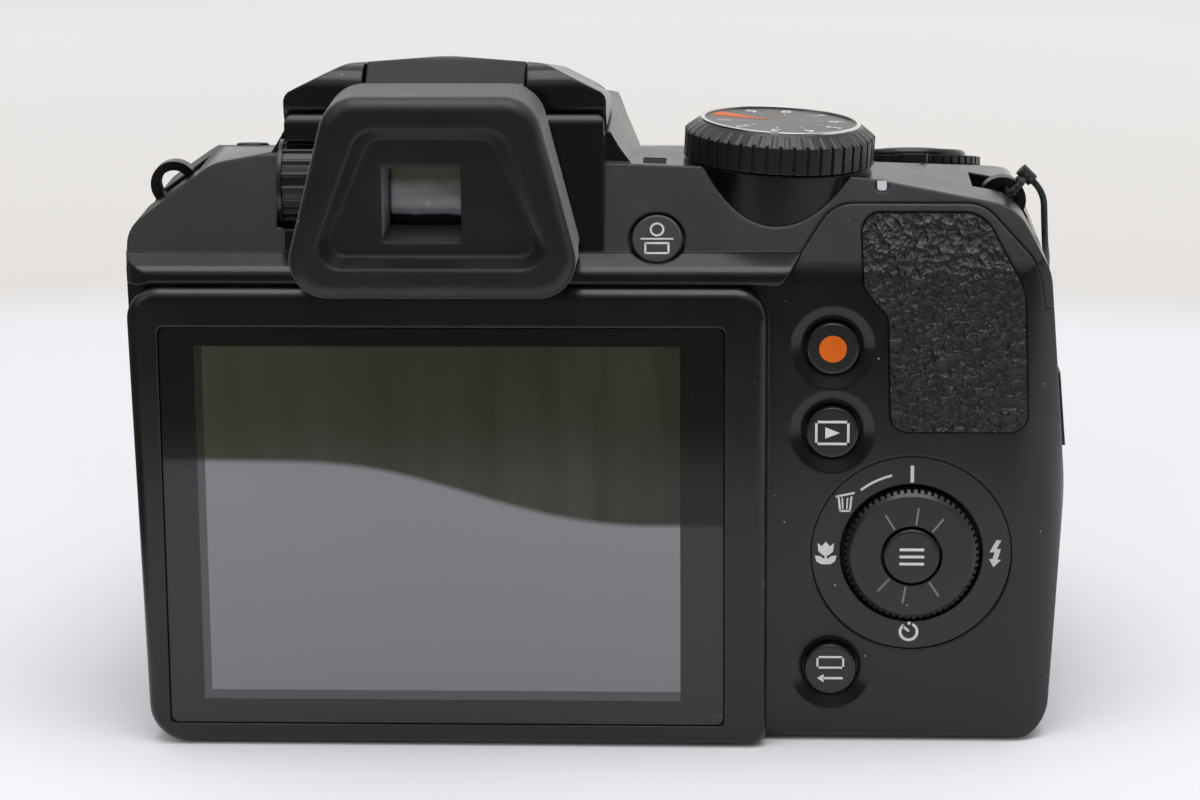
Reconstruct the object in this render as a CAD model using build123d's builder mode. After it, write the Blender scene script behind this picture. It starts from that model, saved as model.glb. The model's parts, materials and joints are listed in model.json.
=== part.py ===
from build123d import *
import math
import os

os.makedirs("parts", exist_ok=True)

# Bridge camera. Sizes are in millimetres: X to the right seen from behind, Y forward along the lens, Z up.
# The origin is the mouth of the tripod socket, on the base.

# Casing
left_side = -39.5
right_side = 80.9
rear_face = -18.7
front_face = 16.0
seam_height = 60.7
wall = 1.8
seam_gap = 0.1
lean_start = 62.0
lean_angle = 30.0
form_top = 78.0
deck_crest_height = 76.7
deck_fall = 9.0
shoulder_height = 67.3
deck_left_x = -29.0
deck_left_height = 74.9
deck_mid_x = -21.0
deck_mid_height = 76.3
deck_join_x = 42.0
deck_join_height = 74.3
foot_inset = 1.6
corner_round = 5.0
shoulder_round = 3.5
deck_round = 6.0
edge_round = 1.6
front_round = 4.5
cut_over = 20.0

# Grip
grip_join_x = 37.5
grip_finger_x = 44.0
grip_finger_y = 22.0
grip_nose_x = 46.3
grip_front = 44.5
grip_flank_x = 70.0
grip_side_y = 26.0
grip_belly_height = 33.0
grip_shoulder_x = 78.4
grip_shoulder_height = 62.0
grip_deck_x = 74.0
grip_deck_height = 69.9
grip_crest_x = 56.0
grip_crest_height = 73.1
grip_join_height = 74.6
platform_height = 73.1
platform_angle = 12.4
nose_height = 50.0
grip_toe_y = 38.0
grip_corner_round = 8.0
grip_nose_round = 9.0
grip_flank_round = 12.0
rubber_thick = 0.8
rubber_foot = 9.0
rubber_top = 55.5
rubber_rear_y = 12.0

# Covers
split_y = -9.6
side_seam_height = 57.3
tongue_inset = 3.0
tongue_height = 70.2
tongue_left_x = 50.6
tongue_right_x = 69.8
tongue_side_height = 63.2
tongue_side_x = 76.6
step_x = 44.0
lip_reach = 1.9
lip_height = 2.0
lip_blend = 3.5

# Monitor
monitor_x = 0.9
window_width = 71.9
window_height = 52.7
window_foot = 2.9
window_thick = 1.1
window_sink = 0.2
panel_width = 64.4
panel_height = 49.0
panel_thick = 3.2
frame_reach = 3.3
frame_margin = 5.6
frame_margin_left = 4.2
frame_foot_inset = 1.3
frame_round = 4.2
frame_edge_round = 1.5
fit_gap = 0.3

# Viewfinder hump
axis_x = 1.2
axis_height = 37.5
hump_half_width = 24.8
hump_waist_half = 22.2
hump_waist_height = 76.8
hump_seat_half = 21.0
hump_seat_height = 78.9
hump_front = 24.0
hump_nose_half = 20.5
hump_taper_y = 6.0
housing_half_width = 20.35
housing_top = 81.8
housing_foot_y = -17.8
housing_top_y = -14.5
housing_edge_round = 1.2
pocket_rear = -13.6
block_half_width = 10.2
block_front = 4.2
lid_top = 88.2
lid_rear_y = -13.0
lid_rear_height = 85.0
lid_crest_y = -7.0
lid_crest_height = 87.9
lid_round = 4.0
lid_fall = 9.2

# Flash
flash_pivot_y = -9.3
flash_pivot_height = 83.3
flash_heel = 3.7
flash_pin_radius = 1.2
flash_shoulder_half = 20.6
flash_shoulder_height = 83.2
flash_crown_half = 12.6
flash_crown_height = 87.2
flash_front = 41.0
flash_nose_half = 17.5
flash_nose_foot = 72.4
flash_nose_round = 3.0
flash_brow_height = 81.2
flash_split_y = 5.6
flash_wall = 1.5
flash_side_gap = 0.3
flash_window_width = 27.0
flash_window_tall = 4.6
flash_window_height = 75.9
flash_window_thick = 1.2
flash_lift = 0.7
reflector_width = 19.0
reflector_tall = 3.8
reflector_depth = 7.0
flash_tube_radius = 1.0
flash_pin_reach = 4.0
flash_pin_sink = 2.4
capacitor_x = -30.6
capacitor_height = 10.6
capacitor_radius = 4.5
capacitor_length = 23.0

# Lens
barrel_radius = 33.3
barrel_front = 60.0
barrel_wall = 1.9
throat_radius = 31.2
throat_rear = 0.0
throat_wall = 1.5
flange_radius = 35.0
flange_thick = 3.4
outer_tube_radius = 30.6
outer_tube_wall = 1.8
outer_tube_rear = 20.0
outer_tube_front = 72.0
inner_tube_radius = 28.4
inner_tube_wall = 1.7
inner_tube_rear = 27.0
inner_tube_front = 77.0
bearing_length = 3.0
bearing_gap = 0.12
front_ring_length = 7.5
front_ring_lip = 2.0
element_radius = 21.8
element_thick = 7.0
element_crown = 2.4
shutter_unit_rear = 31.0
shutter_unit_thick = 6.0
aperture_radius = 6.5
front_ring_radius = 30.2
sensor_view_width = 6.8
sensor_view_tall = 5.3
sensor_width = 8.6
sensor_tall = 7.0
sensor_thick = 2.0

# Mode dial
dial_x = 43.8
dial_y = -4.3
dial_height = 74.4
dial_tilt = 3.0
dial_radius = 12.3
dial_thick = 4.8
dial_band = 3.3
dial_ring_radius = 10.35
dial_ring_width = 0.5
dial_ring_proud = 0.25
dial_notch_angle = 265.0
dial_rib_count = 44
dial_rib_depth = 0.35
dial_rib_width = 0.45
pedestal_radius = 11.9
pedestal_foot_radius = 11.0
pedestal_depth = 7.4
dial_gap = 0.3
spindle_radius = 2.4
spindle_length = 5.0
running_gap = 0.06

# Shutter group on the platform
shutter_x = 61.8
shutter_y = 20.5
shutter_radius = 4.4
power_radius = 9.6
power_thick = 1.1
zoom_radius = 7.6
zoom_thick = 1.3
lever_tab_reach = 2.6
lever_tab_width = 4.0
collar_radius = 6.6
collar_depth = 3.6
ring_lift = 0.3
power_web = 0.45
power_bore = 5.75
power_rib_count = 44
zoom_soft = 0.6
zoom_tab_thick = 0.9
shutter_top = 2.6
shutter_cap_thick = 3.0
shutter_soft = 0.6
small_button_radius = 2.2
burst_x = 49.6
burst_y = 10.0
exposure_x = 49.8
exposure_y = 18.5
flash_button_x = -26.6
flash_button_y = 10.5

# Rear buttons
button_radius = 3.35
button_travel = 0.5
button_proud = 0.35
button_gap = 0.3
button_flange = 0.8
button_dish_radius = 5.4
button_dish_depth = 0.7
control_x = 50.7
record_height = 52.4
play_height = 41.4
display_height = 9.7
viewfinder_button_x = 28.3
viewfinder_button_height = 66.0
selector_x = 61.0
selector_height = 25.3
plate_radius = 12.85
plate_thick = 1.0
plate_sink = 0.25
selector_radius = 8.65
selector_gap = 0.55
selector_thick = 2.0
selector_proud = 1.2
selector_hub_radius = 5.4
selector_bore_radius = 3.95
selector_hub_length = 2.0
selector_rib_count = 60
rocker_radius = 8.0
rocker_thick = 0.8
rocker_gap = 0.6
centre_button_radius = 3.6
board_y = -13.0
board_thick = 1.0
switch_radius = 1.3
switch_height = 1.1

# Boards
board_left = -35.6
board_right = 40.0
board_foot = 6.0
board_top = 56.0
chip_thick = 1.2
post_radius = 1.4
post_left = -34.1
post_right = 38.3
post_foot = 8.0
post_top = 54.0
key_post_left = 48.0
key_post_right = 73.5
key_post_low = 27.0
key_post_foot = 8.0
key_post_top = 54.5
key_board_left = 46.0
key_board_right = 76.0
key_board_foot = 5.0
key_board_top = 58.0
selector_switch_radius = 6.5

# Thumb rest
thumb_thick = 1.0
thumb_proud = 0.45
thumb_left = 54.3
thumb_neck_x = 54.6
thumb_neck_height = 60.2
thumb_waist_x = 57.8
thumb_waist_height = 56.6
thumb_foot_x = 58.2
thumb_foot = 41.6
thumb_right = 75.6
thumb_shoulder_x = 74.9
thumb_shoulder_height = 60.0
thumb_top_x = 69.8
thumb_top = 69.1
thumb_round = 2.2
thumb_waist_round = 3.0
thumb_top_round = 4.2
thumb_shoulder_round = 7.0

# Eyecup and viewfinder
eyecup_x = 0.6
eyecup_rear = -30.0
eyecup_root = -17.9
eyecup_top = 86.3
eyecup_foot = 60.9
eyecup_top_half = 12.8
eyecup_foot_half = 19.3
eyecup_round = 4.8
eyecup_wall = 3.9
eyecup_dish = 2.6
eyecup_edge_round = 1.9
eyepiece_x = -0.7
eyepiece_height = 72.6
eyepiece_width = 9.9
eyepiece_tall = 9.3
eyepiece_thick = 3.0
eyepiece_soft = 0.5
neck_half = 12.0
neck_foot = 64.5
neck_top = 80.4
running_fit = 0.1
eyepiece_y = -17.4
module_width = 15.0
module_tall = 12.0
module_length = 10.4
wheel_height = 72.8
wheel_y = -12.7
wheel_radius = 5.0
wheel_rib = 0.35
wheel_rib_count = 18
wheel_left = -19.9
wheel_right = -15.4
wheel_flange = 0.6
wheel_gap = 0.4
wheel_shaft_radius = 1.2

# Battery bay
bay_left = 47.0
bay_rear = -5.5
bay_side = 29.6
bay_foot = 2.9
bay_height = 52.4
bay_wall = 1.0
door_thick = 2.6
door_margin = 1.3
door_gap = 0.3
door_pin_radius = 0.7
door_pin_length = 1.6
latch_length = 9.0
latch_width = 5.0
latch_thick = 1.0
latch_travel = 3.5
contact_radius = 4.2
contact_thick = 0.6

# Connectors
port_foot = 21.0
port_top = 47.2
port_rear = -8.4
port_front = 0.6
port_cover_thick = 1.2
port_gap = 0.45
port_tab_foot = 37.0
port_tab_front = -4.6
port_tab_reach = 0.8
connector_left = 76.0
connector_right = 77.8
connector_depth = 1.8
connector_margin = 0.4
connector_recess = 0.8

# Small lamps
lamp_x = 56.9
lamp_height = 72.3
lamp_radius = 0.8
af_x = 30.5
af_height = 65.0
af_radius = 2.4

# Strap eyelets and leash
eyelet_thick = 2.2
eyelet_radius = 3.3
eyelet_bore = 1.9
eyelet_left_x = -35.6
eyelet_left_height = 70.2
eyelet_right_x = 73.0
eyelet_right_height = 68.2
eyelet_pocket = 5.0
cord_radius = 0.44
leash_bend = 0.45
eyelet_outer = 3.1
eyelet_left_turn = 35.0
eyelet_right_turn = -45.0
anchor_width = 2.0
anchor_length = 4.2
hitch_gap = 0.11
hitch_bend = 0.53
hitch_radius = 0.85
hitch_length = 2.2
knot_radius = 1.1
knot_length = 2.6

# Base
socket_radius = 3.175
socket_depth = 4.8
socket_boss_radius = 6.5
socket_thick = 5.9
screw_radius = 1.4
screw_sink = 0.4
screw_length = 5.0
screw_head_radius = 1.9
screw_head_thick = 0.9
screw_slot = 0.5
screw_far_x = 31.0
screw_near_y = -4.0
screw_far_y = 10.0


centred = (Align.CENTER, Align.CENTER, Align.CENTER)
upward = (Align.CENTER, Align.CENTER, Align.MIN)
downward = (Align.CENTER, Align.CENTER, Align.MAX)


def at_x(x):
    """A sketch plane facing +X, its own x along Y and its own y along Z."""
    return Plane.YZ.offset(x)


def at_y(y):
    """A sketch plane facing -Y, its own x along X and its own y along Z."""
    return Plane.XZ.offset(-y)


def at_z(z):
    """A sketch plane facing +Z."""
    return Plane.XY.offset(z)


def rounded(corners):
    """A closed outline through (x, y, radius) corners, as the face of the sketch it is called in."""
    with BuildLine() as outline:
        FilletPolyline(*[(x, y) for x, y, r in corners], radius=[r for x, y, r in corners], close=True)
    make_face(outline.edges())


def lean_reach(height):
    """How far the leaning back has come forward of the rear face at a height."""
    return (height - lean_start) * math.tan(math.radians(lean_angle))


def lean_y(height):
    """Where the leaning back lies at a height."""
    return rear_face + lean_reach(height)


deck_slope = math.radians(deck_fall)
deck_front_height = deck_crest_height - (front_face - lean_y(deck_crest_height)) * math.tan(deck_slope)


# Outer form: a body block and a grip block, each the shape common to three outlines
def body_face():
    return [
        (left_side + foot_inset, 0, corner_round),
        (left_side, shoulder_height, shoulder_round),
        (deck_left_x, deck_left_height, deck_round),
        (deck_mid_x, deck_mid_height, 0),
        (deck_join_x, deck_join_height, 0),
        (deck_join_x, 0, 0),
    ]


def body_side():
    return [
        (rear_face, 0, edge_round),
        (rear_face, lean_start, deck_round),
        (lean_y(deck_crest_height), deck_crest_height, edge_round),
        (front_face, deck_front_height, front_round),
        (front_face, 0, edge_round),
    ]


def body_plan():
    return [
        (left_side - wall, rear_face, shoulder_round),
        (deck_join_x, rear_face, 0),
        (deck_join_x, front_face, 0),
        (left_side - wall, front_face, front_round),
    ]


def grip_face():
    return [
        (grip_join_x, 0, 0),
        (grip_shoulder_x + corner_round / 10, 0, corner_round),
        (right_side, grip_belly_height, grip_belly_height),
        (grip_shoulder_x, grip_shoulder_height, grip_corner_round),
        (grip_deck_x, grip_deck_height, deck_round),
        (grip_crest_x, grip_crest_height, grip_belly_height),
        (grip_join_x, grip_join_height, 0),
    ]


def platform_z(y):
    """Height of the sloping platform on the grip at a depth."""
    return platform_height - y * math.tan(math.radians(platform_angle))


platform_rise = math.tan(math.radians(platform_angle))
lean_rise = math.tan(math.radians(lean_angle))
platform_crest = platform_height + platform_rise * (lean_rise * lean_start - rear_face)
platform_crest /= 1 + platform_rise * lean_rise


def grip_side():
    return [
        (rear_face, 0, edge_round),
        (rear_face, lean_start, deck_round),
        (lean_y(platform_crest), platform_crest, 0),
        (grip_front - grip_nose_round / 3, platform_z(grip_front - grip_nose_round / 3), grip_nose_round),
        (grip_front, nose_height, grip_nose_round),
        (grip_toe_y + edge_round, 0, edge_round),
    ]


def grip_plan():
    return [
        (grip_join_x, rear_face, 0),
        (right_side + fit_gap, rear_face, grip_corner_round),
        (right_side + fit_gap, grip_side_y, grip_flank_round),
        (grip_flank_x, grip_front, grip_flank_round),
        (grip_nose_x, grip_front, grip_nose_round),
        (grip_finger_x, grip_finger_y, grip_corner_round),
        (grip_join_x, front_face - fit_gap, 0),
    ]


def block(x, y, z):
    """A box from (low, high) pairs."""
    with BuildPart() as box:
        with Locations(((x[0] + x[1]) / 2, (y[0] + y[1]) / 2, (z[0] + z[1]) / 2)):
            Box(x[1] - x[0], y[1] - y[0], z[1] - z[0])
    return box.part


def form(face, side, plan, inset=0):
    """The solid common to a face outline, a side outline and a plan outline, drawn in by an inset."""
    with BuildPart() as block:
        with BuildSketch(at_y(grip_front + cut_over)):
            rounded(face)
            if inset:
                offset(amount=-inset)
        extrude(amount=grip_front - rear_face + 2 * cut_over)
        with BuildSketch(at_x(left_side - cut_over)):
            rounded(side)
            if inset:
                offset(amount=-inset)
        extrude(amount=right_side - left_side + 2 * cut_over, mode=Mode.INTERSECT)
        with BuildSketch(at_z(-cut_over)):
            rounded(plan)
            if inset:
                offset(amount=-inset)
        extrude(amount=form_top + 2 * cut_over, mode=Mode.INTERSECT)
    return block.part


def casing_form(inset=0):
    """The body and the grip as one solid."""
    body = form(body_face(), body_side(), body_plan(), inset)
    grip = form(grip_face(), grip_side(), grip_plan(), inset)
    with BuildPart() as casing:
        add(body)
        add(grip)
        if inset:
            add(block((grip_join_x - inset, deck_join_x + inset), (rear_face + inset, front_face - 2 * inset),
                      (inset, lean_start)))
    return casing.part


casing_outer = casing_form()
casing_inner = casing_form(wall)


def region(corners, near_y, far_y, grow=0):
    """A prism along Y on a face outline, from a near depth to a far one, let out by a gap."""
    with BuildPart() as prism:
        with BuildSketch(at_y(far_y)):
            rounded(corners)
            if grow:
                offset(amount=grow)
        extrude(amount=far_y - near_y)
    return prism.part


def rear_face_outline():
    """What the rear cover takes of the casing, with its tongue behind the thumb rest."""
    return [
        (left_side - cut_over, -cut_over, 0),
        (right_side + cut_over, -cut_over, 0),
        (right_side + cut_over, side_seam_height, 0),
        (grip_shoulder_x - edge_round / 2, side_seam_height, 0),
        (tongue_side_x, tongue_side_height, deck_round),
        (tongue_right_x, tongue_height, corner_round),
        (tongue_left_x, tongue_height, corner_round),
        (step_x, seam_height, edge_round),
        (left_side - cut_over, seam_height, 0),
    ]


def front_face_outline():
    """What the front cover takes of the casing."""
    return [
        (left_side - cut_over, -cut_over, 0),
        (right_side + cut_over, -cut_over, 0),
        (right_side + cut_over, side_seam_height, 0),
        (step_x, side_seam_height, 0),
        (step_x - tongue_inset, seam_height, 0),
        (left_side - cut_over, seam_height, 0),
    ]


rear_region = region(rear_face_outline(), rear_face - cut_over, split_y - seam_gap / 2)
front_region = region(front_face_outline(), split_y + seam_gap / 2, grip_front + cut_over)
rear_clear = region(rear_face_outline(), rear_face - cut_over, split_y, seam_gap)
front_clear = region(front_face_outline(), split_y - seam_gap, grip_front + cut_over, seam_gap)

# Window frame on the back
window_left = monitor_x - window_width / 2
window_right = monitor_x + window_width / 2
window_top = window_foot + window_height
frame_left = window_left - frame_margin_left
frame_right = window_right + frame_margin
frame_rear = rear_face - frame_reach
window_rear = frame_rear + window_sink
window_seat = window_rear + window_thick
panel_middle = (window_foot + window_top) / 2


def outermost_circle(piece, plane):
    """The circular edge of a piece that stands furthest out of a plane."""
    circles = piece.edges().filter_by(GeomType.CIRCLE)
    return circles.sort_by(lambda edge: plane.to_local_coords(edge.center()).Z)[-1]


def button_cap(plane, radius, depth, travel):
    """A round push button on its own plane: cap, flange that keeps it in and stem to its switch."""
    with BuildPart() as cap:
        with BuildSketch(plane.offset(button_proud)):
            Circle(radius)
        extrude(amount=-(wall + button_proud + button_gap))
        fillet(outermost_circle(cap, plane), radius=button_proud)
        with BuildSketch(plane.offset(-(wall + button_gap))):
            Circle(radius + button_flange)
        extrude(amount=-button_flange)
        with BuildSketch(plane.offset(-(wall + button_gap + button_flange))):
            Circle(switch_radius)
        extrude(amount=-(depth - wall - button_gap - button_flange - switch_height - travel - button_gap))
    return cap.part


def rear_plane(x, z):
    """The plane of a button on the back, facing the user."""
    return Plane(origin=(x, rear_face, z), x_dir=(1, 0, 0), z_dir=(0, -1, 0))


lean_plane = Plane(
    origin=(viewfinder_button_x, lean_y(viewfinder_button_height), viewfinder_button_height),
    x_dir=(1, 0, 0),
    z_dir=(0, -math.cos(math.radians(lean_angle)), math.sin(math.radians(lean_angle))),
)
rear_buttons = {
    "record": (control_x, record_height),
    "play": (control_x, play_height),
    "display": (control_x, display_height),
}
button_hole = button_radius + button_gap
board_depth = board_y - rear_face


def thumb_outline():
    """The thumb rest, seen from behind."""
    return [
        (thumb_left, thumb_top, thumb_round),
        (thumb_top_x, thumb_top, thumb_top_round),
        (thumb_shoulder_x, thumb_shoulder_height, thumb_shoulder_round),
        (thumb_right, thumb_foot, thumb_round),
        (thumb_foot_x, thumb_foot, thumb_round),
        (thumb_waist_x, thumb_waist_height, thumb_waist_round),
        (thumb_neck_x, thumb_neck_height, thumb_waist_round),
    ]


# Rear cover, with the raised frame round the monitor
connector_zone = block(
    (right_side - grip_corner_round, right_side + cut_over), (port_rear, port_front), (port_foot, port_top)
)
with BuildPart() as rear_blank:
    add(casing_outer)
    with BuildSketch(at_y(rear_face + wall)):
        rounded([
            (frame_left + frame_foot_inset, 0, corner_round),
            (frame_left, seam_height, frame_round),
            (frame_right, seam_height, frame_round),
            (frame_right, 0, frame_round / 2),
        ])
    extrude(amount=frame_reach + wall)
    fillet(rear_blank.faces().sort_by(Axis.Y)[0].edges(), radius=frame_edge_round)
    add(casing_inner, mode=Mode.SUBTRACT)
    add(rear_region, mode=Mode.INTERSECT)
    with BuildSketch(at_y(window_seat)):
        with Locations((monitor_x, panel_middle)):
            RectangleRounded(window_width + fit_gap, window_height + fit_gap, wall / 2)
    extrude(amount=cut_over, mode=Mode.SUBTRACT)
    with BuildSketch(at_y(rear_face + cut_over / 2)):
        with Locations((monitor_x, panel_middle)):
            Rectangle(panel_width + 2 * fit_gap, panel_height + 2 * fit_gap)
    extrude(amount=cut_over, mode=Mode.SUBTRACT)
    for x, z in rear_buttons.values():
        with Locations(rear_plane(x, z)):
            Hole(button_hole, depth=wall + cut_over)
            with Locations((0, 0, 0)):
                Cone(button_radius + button_dish_depth / 2, button_dish_radius, button_dish_depth,
                     align=downward, mode=Mode.SUBTRACT)
    with Locations(rear_plane(selector_x, selector_height)):
        Hole(selector_radius + selector_gap, depth=cut_over)
        Cylinder(plate_radius + seam_gap, plate_thick + plate_sink,
                 align=downward, mode=Mode.SUBTRACT)

# Front cover, with the grip
bay_right = bay_left + bay_side
bay_front = bay_rear + bay_side
bay_top = bay_foot + bay_height
door_left = bay_left - door_margin
door_rear = bay_rear - door_margin
door_front = bay_front + door_margin
door_pivot_x = door_left + door_thick / 2
door_pivot_z = door_thick / 2
door_middle_y = (door_rear + door_front) / 2
door_pin_reach = door_front - door_rear + 2 * (door_gap + door_pin_length)
door_pin_plane = Plane(origin=(door_pivot_x, door_middle_y, door_pivot_z), x_dir=(1, 0, 0), z_dir=(0, 1, 0))
lens_plane = Plane(origin=(axis_x, 0, axis_height), x_dir=(-1, 0, 0), z_dir=(0, 1, 0))
door_zone = block(
    (door_left - door_gap, right_side + cut_over),
    (door_rear - door_gap, door_front + door_gap),
    (-cut_over, door_thick + door_gap),
)
rubber_left = grip_finger_x - grip_corner_round / 4
rubber_zone = region(
    [
        (rubber_left - cut_over, rubber_foot, 0),
        (right_side + cut_over, rubber_foot, 0),
        (right_side + cut_over, rubber_top, 0),
        (rubber_left - cut_over, rubber_top, 0),
    ],
    rubber_rear_y, grip_front + cut_over,
)
screw_places = [(side * screw_far_x, y) for side in (-1, 1) for y in (screw_near_y, screw_far_y)]
grip_outer = form(grip_face(), grip_side(), grip_plan())
grip_under = form(grip_face(), grip_side(), grip_plan(), rubber_thick)
with BuildPart() as grip_rubber:
    add(grip_outer)
    add(grip_under, mode=Mode.SUBTRACT)
    add(rubber_zone, mode=Mode.INTERSECT)
    add(block((grip_join_x - cut_over, grip_finger_x), (rubber_rear_y - cut_over, grip_finger_y),
              (-cut_over, form_top)), mode=Mode.SUBTRACT)
grip_rubber.part.label = "grip_rubber"
export_step(grip_rubber.part, "parts/grip_rubber.step")

with BuildPart() as front_cover:
    add(casing_outer)
    add(casing_inner, mode=Mode.SUBTRACT)
    add(front_region, mode=Mode.INTERSECT)
    with Locations(lens_plane.offset(throat_rear - fit_gap)):
        Cylinder(throat_radius + seam_gap, front_face + cut_over, align=upward, mode=Mode.SUBTRACT)
    add(grip_rubber.part, mode=Mode.SUBTRACT)
    with Locations((0, 0, 0)):
        Cylinder(socket_boss_radius + wall, socket_thick, align=upward)
        Cylinder(socket_boss_radius + seam_gap, 2 * cut_over, mode=Mode.SUBTRACT)
    for end, way in ((door_rear - door_gap, -1), (door_front + door_gap, 1)):
        low, high = sorted((end, end + way * (door_pin_length + wall)))
        with Locations((door_pivot_x, (low + high) / 2, door_thick / 2 + door_gap / 2)):
            Box(2 * door_thick, high - low, door_thick + door_gap)
    add(door_zone, mode=Mode.SUBTRACT)
    add(connector_zone, mode=Mode.SUBTRACT)
    add(block((bay_left, bay_right), (bay_rear, bay_front), (-cut_over, bay_foot)), mode=Mode.SUBTRACT)
    with Locations(door_pin_plane):
        Cylinder(door_pin_radius + running_gap, door_pin_reach + 2 * running_gap, mode=Mode.SUBTRACT)
    add(front_region, mode=Mode.INTERSECT)
    add(casing_outer, mode=Mode.INTERSECT)
    with Locations(*[(x, y, 0) for x, y in screw_places]):
        Cylinder(screw_head_radius, 2 * (screw_sink + screw_head_thick), align=centred, mode=Mode.SUBTRACT)
        Cylinder(screw_radius, 2 * screw_length, align=centred, mode=Mode.SUBTRACT)
front_cover.part.label = "front_cover"
export_step(front_cover.part, "parts/front_cover.step")


# Top cover, with the viewfinder hump
def hump_face(inset=0):
    return [
        (axis_x - hump_half_width + inset, seam_height, 0),
        (axis_x - hump_half_width + inset, deck_left_height - edge_round, 0),
        (axis_x - hump_waist_half + inset, hump_waist_height, deck_round),
        (axis_x - hump_seat_half + inset, hump_seat_height - inset, 0),
        (axis_x + hump_seat_half - inset, hump_seat_height - inset, 0),
        (axis_x + hump_waist_half - inset, hump_waist_height, deck_round),
        (axis_x + hump_half_width - inset, deck_left_height - edge_round, 0),
        (axis_x + hump_half_width - inset, seam_height, 0),
    ]


with BuildPart() as hump:
    with BuildSketch(at_y(hump_front)):
        rounded(hump_face())
    extrude(amount=hump_front - lean_y(deck_mid_height))
    with BuildSketch(at_z(seam_height)):
        rounded([
            (axis_x - hump_half_width, rear_face, 0),
            (axis_x + hump_half_width, rear_face, 0),
            (axis_x + hump_half_width, hump_taper_y, deck_round),
            (axis_x + hump_nose_half, hump_front, deck_round),
            (axis_x - hump_nose_half, hump_front, deck_round),
            (axis_x - hump_half_width, hump_taper_y, deck_round),
        ])
    extrude(amount=form_top, mode=Mode.INTERSECT)
    with Locations(lens_plane):
        Cylinder(flange_radius + fit_gap, 2 * (hump_front + cut_over), mode=Mode.SUBTRACT)

with BuildPart() as housing:
    with BuildSketch(at_y(0)):
        rounded([
            (axis_x - housing_half_width, lean_start, 0),
            (axis_x - housing_half_width, housing_top, housing_edge_round),
            (axis_x + housing_half_width, housing_top, housing_edge_round),
            (axis_x + housing_half_width, lean_start, 0),
        ])
    extrude(amount=cut_over)
    with BuildSketch(at_x(left_side)):
        rounded([
            (housing_foot_y, seam_height, 0),
            (housing_top_y, housing_top, edge_round),
            (wall, housing_top, 0),
            (wall, seam_height, 0),
        ])
    extrude(amount=right_side - left_side, mode=Mode.INTERSECT)

with BuildPart() as lip:
    with BuildSketch(at_x(left_side - wall)):
        rounded([
            (rear_face + wall / 2, seam_height - seam_gap, 0),
            (rear_face - lip_reach, seam_height - seam_gap, edge_round / 2),
            (rear_face - lip_reach, seam_height + lip_height, edge_round),
            (lean_y(seam_height + lip_blend), seam_height + lip_blend + wall / 4, 0),
        ])
    extrude(amount=step_x - left_side + wall + lip_blend)
    with BuildSketch(at_z(seam_height - wall)):
        rounded([
            (left_side, rear_face - lip_reach, shoulder_round),
            (step_x + lip_blend, rear_face - lip_reach, 0),
            (step_x + lip_blend, front_face, 0),
            (left_side, front_face, 0),
        ])
    extrude(amount=form_top, mode=Mode.INTERSECT)

lid_plane = Plane(
    origin=(0, lid_crest_y, lid_top),
    x_dir=(1, 0, 0),
    z_dir=(0, -math.cos(math.radians(lid_fall)), math.sin(math.radians(lid_fall))),
)


def lid_form(inset=0):
    """The crown of the flash, falling away towards the front."""
    with BuildPart() as crown:
        with BuildSketch(lid_plane):
            rounded([
                (axis_x - flash_shoulder_half, -cut_over, 0),
                (axis_x - flash_shoulder_half, flash_shoulder_height - lid_top, edge_round),
                (axis_x - flash_crown_half, flash_crown_height - lid_top, lid_round),
                (axis_x, 0, cut_over),
                (axis_x + flash_crown_half, flash_crown_height - lid_top, lid_round),
                (axis_x + flash_shoulder_half, flash_shoulder_height - lid_top, edge_round),
                (axis_x + flash_shoulder_half, -cut_over, 0),
            ])
            if inset:
                offset(amount=-inset)
        extrude(amount=flash_front + cut_over, both=True)
    return crown.part


with BuildPart() as hinge_block:
    with BuildSketch(at_x(axis_x - block_half_width)):
        rounded([
            (lid_rear_y, hump_seat_height - wall, 0),
            (lid_rear_y, lid_rear_height, edge_round),
            (lid_crest_y, lid_crest_height, lid_round),
            (block_front, lid_top, 0),
            (block_front, hump_seat_height - wall, 0),
        ])
    extrude(amount=2 * block_half_width)
    add(lid_form(), mode=Mode.INTERSECT)

mode_dial_plane = Plane(
    origin=(dial_x, dial_y, dial_height),
    x_dir=(math.cos(math.radians(dial_tilt)), 0, -math.sin(math.radians(dial_tilt))),
    z_dir=(math.sin(math.radians(dial_tilt)), 0, math.cos(math.radians(dial_tilt))),
)
with BuildPart() as pedestal_form:
    with BuildSketch(mode_dial_plane.offset(-dial_gap - pedestal_depth)):
        Circle(pedestal_foot_radius)
    with BuildSketch(mode_dial_plane.offset(-dial_gap)):
        Circle(pedestal_radius)
    loft()

platform_plane = Plane(
    origin=(shutter_x, shutter_y, platform_z(shutter_y)),
    x_dir=(1, 0, 0),
    z_dir=(0, math.sin(math.radians(platform_angle)), math.cos(math.radians(platform_angle))),
)


def platform_at(x, y):
    """The plane of a control on the sloping platform."""
    return Plane(origin=(x, y, platform_z(y)), x_dir=(1, 0, 0), z_dir=platform_plane.z_dir)


flash_button_z = deck_crest_height - (flash_button_y - lean_y(deck_crest_height)) * math.tan(deck_slope)
flash_button_plane = Plane(
    origin=(flash_button_x, flash_button_y, flash_button_z),
    x_dir=(1, 0, 0),
    z_dir=(0, math.sin(deck_slope), math.cos(deck_slope)),
)
burst_plane = platform_at(burst_x, burst_y)
exposure_plane = platform_at(exposure_x, exposure_y)


def eyelet_plane(x, z, turn):
    """The plane of a strap eyelet, its own y pointing out of the shoulder."""
    angle = math.radians(turn)
    return Plane(origin=(x, 0, z), x_dir=(math.cos(angle), 0, math.sin(angle)), z_dir=(0, -1, 0))


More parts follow.
